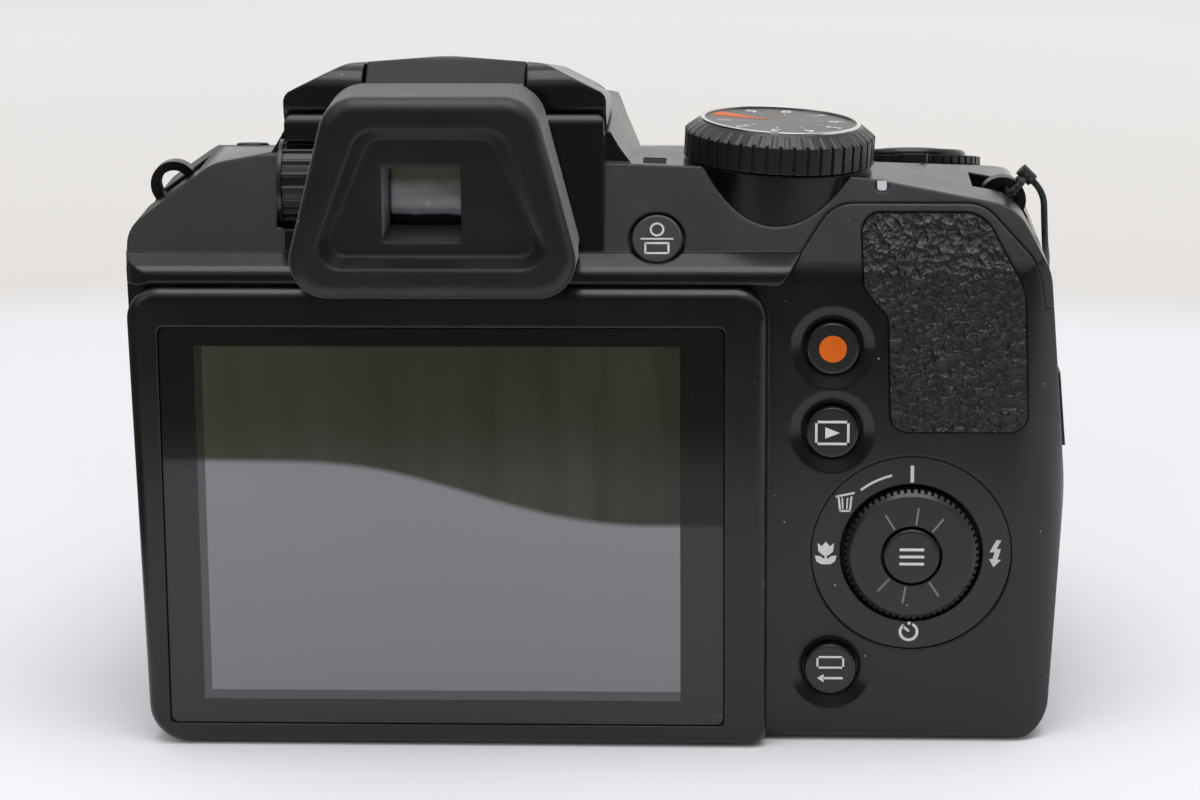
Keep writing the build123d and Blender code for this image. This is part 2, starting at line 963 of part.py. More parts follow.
eyelets = {
    "left": (eyelet_left_x, eyelet_left_height, eyelet_left_turn),
    "right": (eyelet_right_x, eyelet_right_height, eyelet_right_turn),
}
with BuildPart() as top_blank:
    add(casing_outer)
    add(lip.part)
    add(hump.part)
    add(housing.part)
    add(rear_clear, mode=Mode.SUBTRACT)
    add(front_clear, mode=Mode.SUBTRACT)
    add(casing_inner, mode=Mode.SUBTRACT)
    add(block((axis_x - hump_seat_half + wall, axis_x + hump_seat_half - wall),
              (housing_top_y + 2 * wall, front_face - wall),
              (seam_height - cut_over, hump_seat_height - wall)), mode=Mode.SUBTRACT)
    with Locations(lens_plane.offset(throat_rear - fit_gap)):
        Cylinder(throat_radius + seam_gap, front_face + wall, align=upward, mode=Mode.SUBTRACT)
    add(block((left_side, right_side), (pocket_rear, hump_front + cut_over),
              (hump_seat_height, form_top + cut_over)), mode=Mode.SUBTRACT)
    add(hinge_block.part)
    add(pedestal_form.part, mode=Mode.SUBTRACT)

# Dial pedestal, let into the top cover
with BuildPart() as dial_pedestal:
    add(pedestal_form.part)
    with Locations(mode_dial_plane.offset(-dial_gap)):
        Hole(spindle_radius + running_gap, depth=pedestal_depth)
dial_pedestal.part.label = "dial_pedestal"
export_step(dial_pedestal.part, "parts/dial_pedestal.step")

# Mode dial: ribbed rim, its printed cap and the bright ring round it
with BuildPart() as mode_dial:
    with BuildSketch(mode_dial_plane):
        Circle(dial_radius)
    extrude(amount=dial_band)
    with BuildSketch(mode_dial_plane.offset(dial_band)) as band_top:
        Circle(dial_radius)
    with BuildSketch(mode_dial_plane.offset(dial_thick)):
        Circle(dial_ring_radius)
    loft()
    with Locations(mode_dial_plane.offset(dial_band / 2)):
        with PolarLocations(dial_radius, dial_rib_count):
            Box(2 * dial_rib_depth, dial_rib_width, dial_band + cut_over, mode=Mode.SUBTRACT)
    with Locations(mode_dial_plane.offset(dial_thick)):
        Cylinder(dial_ring_radius - dial_ring_width, dial_thick - dial_band,
                 align=downward, mode=Mode.SUBTRACT)
    with BuildSketch(mode_dial_plane):
        Circle(spindle_radius)
    extrude(amount=-spindle_length)
mode_dial.part.label = "mode_dial"
export_step(mode_dial.part, "parts/mode_dial.step")

with BuildPart() as mode_dial_cap:
    with Locations(mode_dial_plane.offset(dial_band)):
        Cylinder(dial_ring_radius - dial_ring_width, dial_thick - dial_band,
                 align=upward)
mode_dial_cap.part.label = "mode_dial_cap"
export_step(mode_dial_cap.part, "parts/mode_dial_cap.step")

with BuildPart() as mode_dial_ring:
    with Locations(mode_dial_plane.offset(dial_thick)):
        Cylinder(dial_ring_radius, dial_ring_proud, align=upward)
        Cylinder(dial_ring_radius - dial_ring_width, 2 * dial_ring_proud, align=centred, mode=Mode.SUBTRACT)
        with PolarLocations(dial_ring_radius, 1, start_angle=dial_notch_angle):
            Box(4 * dial_ring_width, 2 * dial_ring_width, cut_over, mode=Mode.SUBTRACT)
mode_dial_ring.part.label = "mode_dial_ring"
export_step(mode_dial_ring.part, "parts/mode_dial_ring.step")

module_front = housing_top_y + 2 * wall
wheel_reach = wheel_radius + wheel_rib
flash_pin_plane = Plane(origin=(axis_x, flash_pivot_y, flash_pivot_height), x_dir=(0, 1, 0), z_dir=(1, 0, 0))
lamp_plane = Plane(origin=(lamp_x, lean_y(lamp_height), lamp_height), x_dir=(1, 0, 0), z_dir=lean_plane.z_dir)
af_plane = Plane(origin=(af_x, front_face, af_height), x_dir=(-1, 0, 0), z_dir=(0, 1, 0))

# Finish the covers: sockets for the controls and the strap eyelets
with BuildPart() as eyelet_pockets:
    for x, z, turn in eyelets.values():
        with BuildSketch(eyelet_plane(x, z, turn)):
            SlotOverall(2 * eyelet_pocket + 2 * wall, 2 * eyelet_radius + 2 * wall)
        extrude(amount=eyelet_pocket + wall, both=True)
    add(casing_outer, mode=Mode.INTERSECT)
with BuildPart() as top_cover:
    add(top_blank.part)
    add(eyelet_pockets.part)
    with Locations(lean_plane):
        Hole(button_hole, depth=lip_blend * 2)
    for plane, radius in ((platform_plane, collar_radius), (burst_plane, small_button_radius + button_gap),
                          (exposure_plane, small_button_radius + button_gap),
                          (flash_button_plane, small_button_radius + button_gap)):
        with Locations(plane):
            Hole(radius, depth=3 * wall)
    add(block((wheel_left - wheel_rib, wheel_right + fit_gap),
              (rear_face - cut_over, wheel_y + wheel_reach + wheel_gap),
              (wheel_height - wheel_reach - seam_gap, wheel_height + wheel_reach + fit_gap)), mode=Mode.SUBTRACT)
    with Locations(Plane(origin=(wheel_right, wheel_y, wheel_height), x_dir=(0, 1, 0), z_dir=(1, 0, 0))):
        Cylinder(wheel_shaft_radius + running_gap, wall + 2 * wheel_gap, align=upward, mode=Mode.SUBTRACT)
    with Locations((eyepiece_x, module_front - cut_over / 2, eyepiece_height)):
        Box(eyepiece_width, cut_over, eyepiece_tall, mode=Mode.SUBTRACT)
    add(block((left_side, right_side), (flash_split_y - wall, hump_front + cut_over),
              (hump_seat_height, form_top + cut_over)), mode=Mode.SUBTRACT)
    with Locations(flash_pin_plane):
        Cylinder(flash_pin_radius, 2 * block_half_width + 2 * seam_gap, align=centred, mode=Mode.SUBTRACT)
    with Locations(mode_dial_plane.offset(-dial_gap)):
        Cylinder(dial_radius + 2 * dial_gap, dial_thick, align=upward, mode=Mode.SUBTRACT)
    with Locations(lamp_plane):
        Cylinder(lamp_radius, 2 * wall + wall, align=downward, mode=Mode.SUBTRACT)
    with Locations(af_plane):
        Cylinder(af_radius, 2 * wall + wall, align=downward, mode=Mode.SUBTRACT)
    for x, z, turn in eyelets.values():
        with BuildSketch(eyelet_plane(x, z, turn)):
            SlotOverall(2 * eyelet_pocket, 2 * eyelet_radius)
            with Locations((0, -eyelet_outer)):
                Rectangle(anchor_width, anchor_length)
        extrude(amount=eyelet_pocket, both=True, mode=Mode.SUBTRACT)
top_cover.part.label = "top_cover"
export_step(top_cover.part, "parts/top_cover.step")

# Thumb rest
key_posts = [(key_post_left, key_post_low), (key_post_right, key_post_foot), (key_post_right, key_post_top)]
with BuildPart() as thumb_rest:
    with BuildSketch(at_y(rear_face + thumb_thick + lean_reach(tongue_height))):
        rounded(thumb_outline())
    extrude(amount=cut_over)
    add(form(grip_face(), grip_side(), grip_plan(), -thumb_proud), mode=Mode.INTERSECT)
    add(form(grip_face(), grip_side(), grip_plan(), thumb_thick), mode=Mode.SUBTRACT)
with BuildPart() as thumb_bed:
    with BuildSketch(at_y(rear_face + thumb_thick + lean_reach(tongue_height))):
        rounded(thumb_outline())
        offset(amount=seam_gap)
    extrude(amount=cut_over)
    add(form(grip_face(), grip_side(), grip_plan(), thumb_thick), mode=Mode.SUBTRACT)
with BuildPart() as rear_cover:
    add(rear_blank.part)
    add(thumb_bed.part, mode=Mode.SUBTRACT)
    add(pedestal_form.part, mode=Mode.SUBTRACT)
    for x in (post_left, post_right):
        for z in (post_foot, post_top):
            with Locations(rear_plane(x, z).offset(seam_gap - wall)):
                Cylinder(post_radius, board_y - board_thick / 2 - rear_face + seam_gap - wall, align=downward)
    for x, z in key_posts:
        with Locations(rear_plane(x, z).offset(seam_gap - wall)):
            Cylinder(post_radius, board_y - rear_face + seam_gap - wall, align=downward)
rear_cover.part.label = "rear_cover"
export_step(rear_cover.part, "parts/rear_cover.step")
thumb_rest.part.label = "thumb_rest"
export_step(thumb_rest.part, "parts/thumb_rest.step")

# Monitor: the cover window and the panel behind it
with BuildPart() as monitor_window:
    with BuildSketch(at_y(window_seat)):
        with Locations((monitor_x, panel_middle)):
            RectangleRounded(window_width, window_height, wall / 2)
    extrude(amount=window_thick)
monitor_window.part.label = "monitor_window"
export_step(monitor_window.part, "parts/monitor_window.step")

with BuildPart() as monitor_panel:
    with BuildSketch(at_y(window_seat + panel_thick)):
        with Locations((monitor_x, panel_middle)):
            Rectangle(panel_width, panel_height)
    extrude(amount=panel_thick - seam_gap)
monitor_panel.part.label = "monitor_panel"
export_step(monitor_panel.part, "parts/monitor_panel.step")

wheel_plane = Plane(origin=(wheel_left, wheel_y, wheel_height), x_dir=(0, 1, 0), z_dir=(1, 0, 0))
wheel_width = wheel_right - wheel_left


# Eyecup: a soft trapezoid hood, dished towards the eyepiece
def eyecup_face(inset=0):
    return [
        (eyecup_x - eyecup_foot_half + inset, eyecup_foot + inset, eyecup_round - inset / 2),
        (eyecup_x - eyecup_top_half + inset, eyecup_top - inset, eyecup_round - inset / 2),
        (eyecup_x + eyecup_top_half - inset, eyecup_top - inset, eyecup_round - inset / 2),
        (eyecup_x + eyecup_foot_half - inset, eyecup_foot + inset, eyecup_round - inset / 2),
    ]


with BuildPart() as eyecup:
    with BuildSketch(at_y(eyecup_root)):
        rounded(eyecup_face())
    extrude(amount=eyecup_root - eyecup_rear)
    fillet(eyecup.faces().sort_by(Axis.Y)[0].edges(), radius=eyecup_edge_round)
    with BuildSketch(at_y(eyecup_rear + eyecup_dish)):
        rounded(eyecup_face(eyecup_wall + eyecup_dish / 2))
    with BuildSketch(at_y(eyecup_rear)):
        rounded(eyecup_face(eyecup_wall))
    loft(mode=Mode.SUBTRACT)
    add(block((eyecup_x - neck_half, eyecup_x + neck_half), (eyecup_root, housing_top_y),
              (neck_foot, neck_top)))
    with Locations((eyepiece_x, eyecup_rear, eyepiece_height)):
        Box(eyepiece_width, 2 * cut_over, eyepiece_tall, mode=Mode.SUBTRACT)
    add(housing.part, mode=Mode.SUBTRACT)
    with Locations(wheel_plane):
        Cylinder(wheel_reach + wheel_gap, wheel_width + fit_gap, align=upward, mode=Mode.SUBTRACT)
    add(block((axis_x - housing_half_width - fit_gap, axis_x + housing_half_width + fit_gap),
              (lean_y(seam_height) - lip_reach - fit_gap, 0),
              (eyecup_foot - cut_over, seam_height + lip_height + lip_blend)), mode=Mode.SUBTRACT)
eyecup.part.label = "eyecup"
export_step(eyecup.part, "parts/eyecup.step")

# Eyepiece glass and the viewfinder module behind it, inside the hump
with BuildPart() as eyepiece_lens:
    with BuildSketch(at_y(eyepiece_y + eyepiece_thick)):
        with Locations((eyepiece_x, eyepiece_height)):
            RectangleRounded(eyepiece_width - 2 * running_fit, eyepiece_tall - 2 * running_fit, wall / 2)
    extrude(amount=eyepiece_thick)
    fillet(eyepiece_lens.faces().sort_by(Axis.Y)[0].edges(), radius=eyepiece_soft)
eyepiece_lens.part.label = "eyepiece_lens"
export_step(eyepiece_lens.part, "parts/eyepiece_lens.step")

with BuildPart() as viewfinder_module:
    with BuildSketch(at_y(module_front + module_length)):
        with Locations((eyepiece_x, eyepiece_height - wall)):
            RectangleRounded(module_width, module_tall, wall / 2)
    extrude(amount=module_length)
    with BuildSketch(at_y(module_front)):
        with Locations((eyepiece_x, eyepiece_height)):
            Rectangle(eyepiece_width - 2 * running_fit, eyepiece_tall - 2 * running_fit)
    extrude(amount=module_front - eyepiece_y - eyepiece_thick)
    with BuildSketch(at_y(module_front + module_length - wall)):
        with Locations((eyepiece_x, eyepiece_height)):
            Rectangle(eyepiece_width - wall, eyepiece_tall - wall)
    extrude(amount=module_length + cut_over, mode=Mode.SUBTRACT)
viewfinder_module.part.label = "viewfinder_module"
export_step(viewfinder_module.part, "parts/viewfinder_module.step")

# Dioptre wheel in the corner of the housing
with BuildPart() as dioptre_wheel:
    with BuildSketch(wheel_plane):
        Circle(wheel_radius)
        with PolarLocations(wheel_radius, wheel_rib_count):
            Circle(wheel_rib)
    extrude(amount=wheel_width)
    with BuildSketch(wheel_plane):
        Circle(wheel_radius + wheel_rib + seam_gap)
    extrude(amount=wheel_flange)
    with BuildSketch(wheel_plane.offset(wheel_width)):
        Circle(wheel_shaft_radius)
    extrude(amount=wall + wheel_gap)
dioptre_wheel.part.label = "dioptre_wheel"
export_step(dioptre_wheel.part, "parts/dioptre_wheel.step")

# Round push buttons
for name, (x, z) in rear_buttons.items():
    cap = button_cap(rear_plane(x, z), button_radius, board_depth, button_travel)
    cap.label = name + "_button"
    export_step(cap, "parts/" + name + "_button.step")
viewfinder_depth = wall + 3 * button_flange + switch_height + button_travel
viewfinder_button = button_cap(lean_plane, button_radius, viewfinder_depth, button_travel)
viewfinder_button.label = "viewfinder_button"
export_step(viewfinder_button, "parts/viewfinder_button.step")
small_depth = wall + 4 * button_flange + switch_height + button_travel
for name, plane in (("burst", burst_plane), ("exposure", exposure_plane), ("flash", flash_button_plane)):
    cap = button_cap(plane, small_button_radius, small_depth, button_travel)
    cap.label = name + "_button"
    export_step(cap, "parts/" + name + "_button.step")

# Selector: the printed plate, the two rocking rings, the turning ring and the centre button
selector_plane = rear_plane(selector_x, selector_height)
with BuildPart() as selector_plate:
    with BuildSketch(selector_plane.offset(-plate_sink - plate_thick)):
        Circle(plate_radius)
        Circle(selector_radius + selector_gap, mode=Mode.SUBTRACT)
    extrude(amount=plate_thick)
selector_plate.part.label = "selector_plate"
export_step(selector_plate.part, "parts/selector_plate.step")

with BuildPart() as selector_dial:
    with BuildSketch(selector_plane.offset(selector_proud - selector_thick)):
        Circle(selector_radius)
    extrude(amount=selector_thick)
    chamfer(selector_dial.faces().sort_by(Axis.Y)[0].edges(), length=edge_round / 2)
    with Locations(selector_plane.offset(selector_proud - selector_thick / 2)):
        with PolarLocations(selector_radius, selector_rib_count):
            Box(2 * dial_rib_depth, dial_rib_depth, selector_thick * 2, mode=Mode.SUBTRACT)
    with BuildSketch(selector_plane.offset(selector_proud - selector_thick)):
        Circle(selector_hub_radius)
    extrude(amount=-selector_hub_length)
    with Locations(selector_plane.offset(selector_proud)):
        Hole(selector_bore_radius, depth=cut_over)
selector_dial.part.label = "selector_dial"
export_step(selector_dial.part, "parts/selector_dial.step")
hub_end = selector_proud - selector_thick - selector_hub_length
rocker_top = selector_proud - selector_thick - rocker_gap
yoke_top = rocker_top - rocker_thick - rocker_gap
with BuildPart() as selector_rocker:
    with BuildSketch(selector_plane.offset(rocker_top - rocker_thick)):
        Circle(rocker_radius)
        Circle(selector_hub_radius + running_gap, mode=Mode.SUBTRACT)
    extrude(amount=rocker_thick)
selector_rocker.part.label = "selector_rocker"
export_step(selector_rocker.part, "parts/selector_rocker.step")
with BuildPart() as selector_yoke:
    with BuildSketch(selector_plane.offset(yoke_top - rocker_thick)):
        Circle(rocker_radius)
        Circle(selector_hub_radius + selector_gap, mode=Mode.SUBTRACT)
    extrude(amount=rocker_thick)
selector_yoke.part.label = "selector_yoke"
export_step(selector_yoke.part, "parts/selector_yoke.step")
with BuildPart() as centre_button:
    with BuildSketch(selector_plane.offset(selector_proud + button_proud)):
        Circle(centre_button_radius)
    extrude(amount=-selector_thick)
    fillet(centre_button.edges().filter_by(GeomType.CIRCLE).sort_by(Axis.Y)[0], radius=button_proud)
    with BuildSketch(selector_plane.offset(selector_proud)):
        Circle(switch_radius)
    extrude(amount=-(board_depth + selector_proud - switch_height - button_travel - fit_gap))
    with BuildSketch(selector_plane.offset(hub_end - fit_gap)):
        Circle(selector_bore_radius + button_flange)
    extrude(amount=-button_flange / 2)
centre_button.part.label = "centre_button"
export_step(centre_button.part, "parts/centre_button.step")

# Boards behind the rear cover
chip_shares = [
    # along, up, width, height, as shares of the board
    (0.3, 0.3, 0.19, 0.28),
    (0.68, 0.28, 0.13, 0.2),
    (0.3, 0.78, 0.24, 0.16),
    (0.75, 0.76, 0.16, 0.24),
]
board_width = board_right - board_left
board_tall = board_top - board_foot
chips = [
    (board_left + u * board_width, board_foot + v * board_tall, w * board_width, h * board_tall)
    for u, v, w, h in chip_shares
]
with BuildPart() as main_board:
    add(block((board_left, board_right), (board_y - board_thick / 2, board_y + board_thick / 2),
              (board_foot, board_top)))
    for x, z, width, tall in chips:
        with Locations((x, board_y + board_thick / 2 + chip_thick / 2, z)):
            Box(width, chip_thick, tall)
main_board.part.label = "main_board"
export_step(main_board.part, "parts/main_board.step")

selector_switches = [(selector_x, selector_height)]
for step in range(4):
    angle = math.radians(90 * step)
    selector_switches.append((selector_x + selector_switch_radius * math.cos(angle),
                              selector_height + selector_switch_radius * math.sin(angle)))
with BuildPart() as button_board:
    add(block((key_board_left, key_board_right), (board_y, board_y + board_thick),
              (key_board_foot, key_board_top)))
    with Locations(at_y(board_y)):
        with Locations(*[(x, z, 0) for x, z in list(rear_buttons.values()) + selector_switches]):
            Cylinder(switch_radius, switch_height, align=upward)
button_board.part.label = "button_board"
export_step(button_board.part, "parts/button_board.step")

# Shutter group: power ring, zoom ring and shutter button on one axis
with BuildPart() as power_lever:
    with BuildSketch(platform_plane.offset(ring_lift)):
        Circle(power_radius)
    extrude(amount=power_thick)
    with Locations(platform_plane.offset(ring_lift + power_thick / 2)):
        with PolarLocations(power_radius, power_rib_count):
            Box(2 * dial_rib_depth, dial_rib_width, power_thick, mode=Mode.SUBTRACT)
    with BuildSketch(platform_plane.offset(ring_lift)):
        with Locations((0, -power_radius)):
            RectangleRounded(lever_tab_width, 2 * lever_tab_reach, edge_round / 2)
    extrude(amount=power_thick)
    with BuildSketch(platform_plane.offset(ring_lift + power_web)):
        Circle(zoom_radius + fit_gap)
    extrude(amount=power_thick, mode=Mode.SUBTRACT)
    with BuildSketch(platform_plane.offset(ring_lift)):
        Circle(collar_radius - fit_gap)
    extrude(amount=-collar_depth)
    with Locations(platform_plane.offset(ring_lift + power_thick)):
        Hole(power_bore, depth=cut_over)
power_lever.part.label = "power_lever"
export_step(power_lever.part, "parts/power_lever.step")

zoom_base = ring_lift + power_web + fit_gap
with BuildPart() as zoom_lever:
    with BuildSketch(platform_plane.offset(zoom_base)):
        Circle(zoom_radius)
    extrude(amount=zoom_thick)
    fillet(outermost_circle(zoom_lever, platform_plane), radius=zoom_soft)
    with BuildSketch(platform_plane.offset(ring_lift + power_thick + fit_gap)):
        with Locations((0, zoom_radius)):
            RectangleRounded(lever_tab_width, 2 * lever_tab_reach, edge_round / 2)
    extrude(amount=zoom_tab_thick)
    with BuildSketch(platform_plane.offset(zoom_base)):
        Circle(power_bore - fit_gap)
    extrude(amount=-(collar_depth + zoom_base - ring_lift))
    with Locations(platform_plane.offset(zoom_base + zoom_thick + zoom_tab_thick)):
        Hole(shutter_radius + fit_gap, depth=cut_over)
zoom_lever.part.label = "zoom_lever"
export_step(zoom_lever.part, "parts/zoom_lever.step")

with BuildPart() as shutter_button:
    with BuildSketch(platform_plane.offset(shutter_top)):
        Circle(shutter_radius)
    extrude(amount=-shutter_cap_thick)
    fillet(outermost_circle(shutter_button, platform_plane), radius=shutter_soft)
    with BuildSketch(platform_plane.offset(shutter_top - shutter_cap_thick)):
        Circle(switch_radius)
    extrude(amount=-(collar_depth + shutter_top - shutter_cap_thick + fit_gap + button_flange))
    with BuildSketch(platform_plane.offset(-collar_depth + ring_lift - fit_gap)):
        Circle(shutter_radius + fit_gap + button_flange)
    extrude(amount=-button_flange)
shutter_button.part.label = "shutter_button"
export_step(shutter_button.part, "parts/shutter_button.step")

with BuildPart() as status_lamp:
    with Locations(lamp_plane):
        Cylinder(lamp_radius, wall, align=downward)
status_lamp.part.label = "status_lamp"
export_step(status_lamp.part, "parts/status_lamp.step")
with BuildPart() as af_lamp:
    with Locations(af_plane):
        Cylinder(af_radius, wall, align=downward)
af_lamp.part.label = "af_lamp"
export_step(af_lamp.part, "parts/af_lamp.step")


# Flash
def flash_side(inset=0):
    heel_y = flash_pivot_y - flash_heel + inset
    heel_round = flash_heel - wall / 4 - inset
    return [
        (heel_y, flash_pivot_height - flash_heel + inset, heel_round),
        (heel_y, flash_pivot_height + flash_heel - inset, heel_round),
        (lid_crest_y, lid_crest_height - inset, lid_round),
        (flash_front - inset, flash_brow_height - inset, lid_round - inset),
        (flash_front - inset, flash_nose_foot + inset, max(edge_round - inset, 0)),
        (hump_front + flash_lift + inset, flash_nose_foot + inset, 0),
        (hump_front + flash_lift + inset, flash_pivot_height - flash_heel + inset, 0),
    ]


def flash_form(inset=0):
    """The flash head: its crown, its side outline and its plan in common, drawn in by an inset."""
    with BuildPart() as head:
        add(lid_form(inset))
        with BuildSketch(at_x(left_side)):
            rounded(flash_side(inset))
        extrude(amount=right_side - left_side, mode=Mode.INTERSECT)
        with BuildSketch(at_z(seam_height)):
            rounded([
                (axis_x - flash_shoulder_half - seam_gap + inset, rear_face, 0),
                (axis_x + flash_shoulder_half + seam_gap - inset, rear_face, 0),
                (axis_x + flash_shoulder_half + seam_gap - inset, hump_taper_y, deck_round),
                (axis_x + flash_nose_half - inset, flash_front - inset, flash_nose_round),
                (axis_x - flash_nose_half + inset, flash_front - inset, flash_nose_round),
                (axis_x - flash_shoulder_half - seam_gap + inset, hump_taper_y, deck_round),
            ])
        extrude(amount=form_top, mode=Mode.INTERSECT)
    return head.part


with BuildPart() as flash_head:
    add(flash_form())
    add(block((axis_x - block_half_width - flash_side_gap, axis_x + block_half_width + flash_side_gap),
              (rear_face, flash_split_y), (seam_height, form_top + cut_over)), mode=Mode.SUBTRACT)
    with BuildPart(mode=Mode.PRIVATE) as hollow:
        add(flash_form(flash_wall))
        add(block((left_side, right_side), (flash_split_y + flash_wall, flash_front),
                  (seam_height, form_top + cut_over)), mode=Mode.INTERSECT)
    add(hollow.part, mode=Mode.SUBTRACT)
    with Locations((axis_x, flash_front, flash_window_height)):
        Box(flash_window_width, 2 * (flash_wall + seam_gap), flash_window_tall, mode=Mode.SUBTRACT)
    with Locations(flash_pin_plane):
        Cylinder(flash_pin_radius + running_gap, 2 * (block_half_width + flash_pin_reach + fit_gap),
                 align=centred, mode=Mode.SUBTRACT)
flash_head.part.label = "flash_head"
export_step(flash_head.part, "parts/flash_head.step")

with BuildPart() as flash_window:
    with Locations((axis_x, flash_front - seam_gap - flash_window_thick / 2, flash_window_height)):
        Box(flash_window_width, flash_window_thick, flash_window_tall)
flash_window.part.label = "flash_window"
export_step(flash_window.part, "parts/flash_window.step")

reflector_front = flash_front - seam_gap - flash_window_thick
flash_tube_y = reflector_front - reflector_depth / 2 - wall / 2
flash_tube_plane = Plane(origin=(axis_x, flash_tube_y, flash_window_height), x_dir=(0, 1, 0), z_dir=(1, 0, 0))
with BuildPart() as flash_reflector:
    with Locations((axis_x, reflector_front - reflector_depth / 2, flash_window_height)):
        Box(reflector_width, reflector_depth, reflector_tall)
    with BuildSketch(at_x(axis_x - reflector_width / 2 + wall / 2)):
        rounded([
            (reflector_front, flash_window_height - reflector_tall / 2 + wall / 4, 0),
            (reflector_front, flash_window_height + reflector_tall / 2 - wall / 4, 0),
            (reflector_front - reflector_depth + wall / 2, flash_window_height + wall / 2, 0),
            (reflector_front - reflector_depth + wall / 2, flash_window_height - wall / 2, 0),
        ])
    extrude(amount=reflector_width - wall, mode=Mode.SUBTRACT)
    with Locations(flash_tube_plane):
        Cylinder(flash_tube_radius, reflector_width, align=centred)
flash_reflector.part.label = "flash_reflector"
export_step(flash_reflector.part, "parts/flash_reflector.step")

with BuildPart() as flash_hinge_pins:
    pin_middle = block_half_width + flash_pin_reach / 2 - flash_pin_sink / 2
    for side in (-1, 1):
        with Locations(flash_pin_plane.offset(side * pin_middle)):
            Cylinder(flash_pin_radius, flash_pin_reach + flash_pin_sink, align=centred)
flash_hinge_pins.part.label = "flash_hinge_pins"
export_step(flash_hinge_pins.part, "parts/flash_hinge_pins.step")

with BuildPart() as flash_capacitor:
    with BuildSketch(at_y(board_y + board_thick / 2)):
        with Locations((capacitor_x, capacitor_height)):
            Circle(capacitor_radius)
    extrude(amount=-capacitor_length)
flash_capacitor.part.label = "flash_capacitor"
export_step(flash_capacitor.part, "parts/flash_capacitor.step")


# Lens
def turned(corners):
    """A ring turned about the lens axis from (radius, y) corners."""
    with BuildPart() as ring:
        with BuildSketch(Plane(origin=(axis_x, 0, axis_height), x_dir=(1, 0, 0), z_dir=(0, 0, 1))):
            with BuildLine() as outline:
                Polyline(*corners, close=True)
            make_face(outline.edges())
        revolve(axis=Axis((axis_x, 0, axis_height), (0, 1, 0)))
    return ring.part


barrel_bore = barrel_radius - barrel_wall
lens_flange = turned([
    (barrel_radius + seam_gap, front_face),
    (flange_radius, front_face),
    (flange_radius, front_face + flange_thick - edge_round / 2),
    (flange_radius - edge_round / 2, front_face + flange_thick),
    (barrel_radius + seam_gap, front_face + flange_thick),
])
lens_flange.label = "lens_flange"
export_step(lens_flange, "parts/lens_flange.step")

with BuildPart() as lens_barrel:
    add(turned([
        (0, throat_rear),
        (throat_radius, throat_rear),
        (throat_radius, front_face),
        (barrel_radius, front_face),
        (barrel_radius, barrel_front - edge_round / 2),
        (barrel_radius - edge_round / 2, barrel_front),
        (outer_tube_radius + bearing_gap, barrel_front),
        (outer_tube_radius + bearing_gap, barrel_front - bearing_length),
        (barrel_bore, barrel_front - bearing_length),
        (barrel_bore, front_face + barrel_wall),
        (throat_radius - throat_wall, front_face + barrel_wall),
        (throat_radius - throat_wall, throat_rear + throat_wall),
        (0, throat_rear + throat_wall),
    ]))
    with Locations((axis_x, 0, axis_height)):
        Box(sensor_view_width, 2 * throat_wall + cut_over, sensor_view_tall, mode=Mode.SUBTRACT)
lens_barrel.part.label = "lens_barrel"
export_step(lens_barrel.part, "parts/lens_barrel.step")

outer_bore = outer_tube_radius - outer_tube_wall
inner_bore = inner_tube_radius - inner_tube_wall
zoom_tube_outer = turned([
    (barrel_bore - bearing_gap, outer_tube_rear),
    (barrel_bore - bearing_gap, outer_tube_rear + bearing_length),
    (outer_tube_radius, outer_tube_rear + bearing_length),
    (outer_tube_radius, outer_tube_front - edge_round / 2),
    (outer_tube_radius - edge_round / 2, outer_tube_front),
    (inner_tube_radius + bearing_gap, outer_tube_front),
    (inner_tube_radius + bearing_gap, outer_tube_front - bearing_length),
    (outer_bore, outer_tube_front - bearing_length),
    (outer_bore, outer_tube_rear),
])
zoom_tube_outer.label = "zoom_tube_outer"
export_step(zoom_tube_outer, "parts/zoom_tube_outer.step")
zoom_tube_inner = turned([
    (outer_bore - bearing_gap, inner_tube_rear),
    (outer_bore - bearing_gap, inner_tube_rear + bearing_length),
    (inner_tube_radius, inner_tube_rear + bearing_length),
    (inner_tube_radius, inner_tube_front),
    (inner_bore, inner_tube_front),
    (inner_bore, inner_tube_rear),
])
zoom_tube_inner.label = "zoom_tube_inner"
export_step(zoom_tube_inner, "parts/zoom_tube_inner.step")

ring_rear = outer_tube_front + 2 * fit_gap
ring_front = inner_tube_front + front_ring_length
front_ring = turned([
    (inner_tube_radius, ring_rear),
    (front_ring_radius, ring_rear),
    (front_ring_radius, ring_front - edge_round / 4),
    (front_ring_radius - edge_round / 4, ring_front),
    (inner_bore + wall / 4, ring_front),
    (inner_bore + wall / 4, ring_front - front_ring_lip),
    (element_radius + wall / 2, ring_front - 2 * front_ring_lip),
    (element_radius, ring_front - 2 * front_ring_lip),
    (element_radius, inner_tube_front),
    (inner_tube_radius, inner_tube_front),
])
front_ring.label = "front_ring"
export_step(front_ring, "parts/front_ring.step")

element_rear = ring_front - 2 * front_ring_lip - element_thick
crown_radius = (element_radius ** 2 + element_crown ** 2) / (2 * element_crown)
with BuildPart() as front_element:
    with Locations(lens_plane.offset(element_rear)):
        Cylinder(element_radius, element_thick + element_crown, align=upward)
    with Locations(lens_plane.offset(element_rear + element_thick + element_crown - crown_radius)):
        Sphere(crown_radius, mode=Mode.INTERSECT)
front_element.part.label = "front_element"
export_step(front_element.part, "parts/front_element.step")

shutter_unit = turned([
    (aperture_radius, shutter_unit_rear),
    (inner_bore, shutter_unit_rear),
    (inner_bore, shutter_unit_rear + shutter_unit_thick),
    (aperture_radius + wall, shutter_unit_rear + shutter_unit_thick),
])
shutter_unit.label = "shutter_unit"
export_step(shutter_unit, "parts/shutter_unit.step")

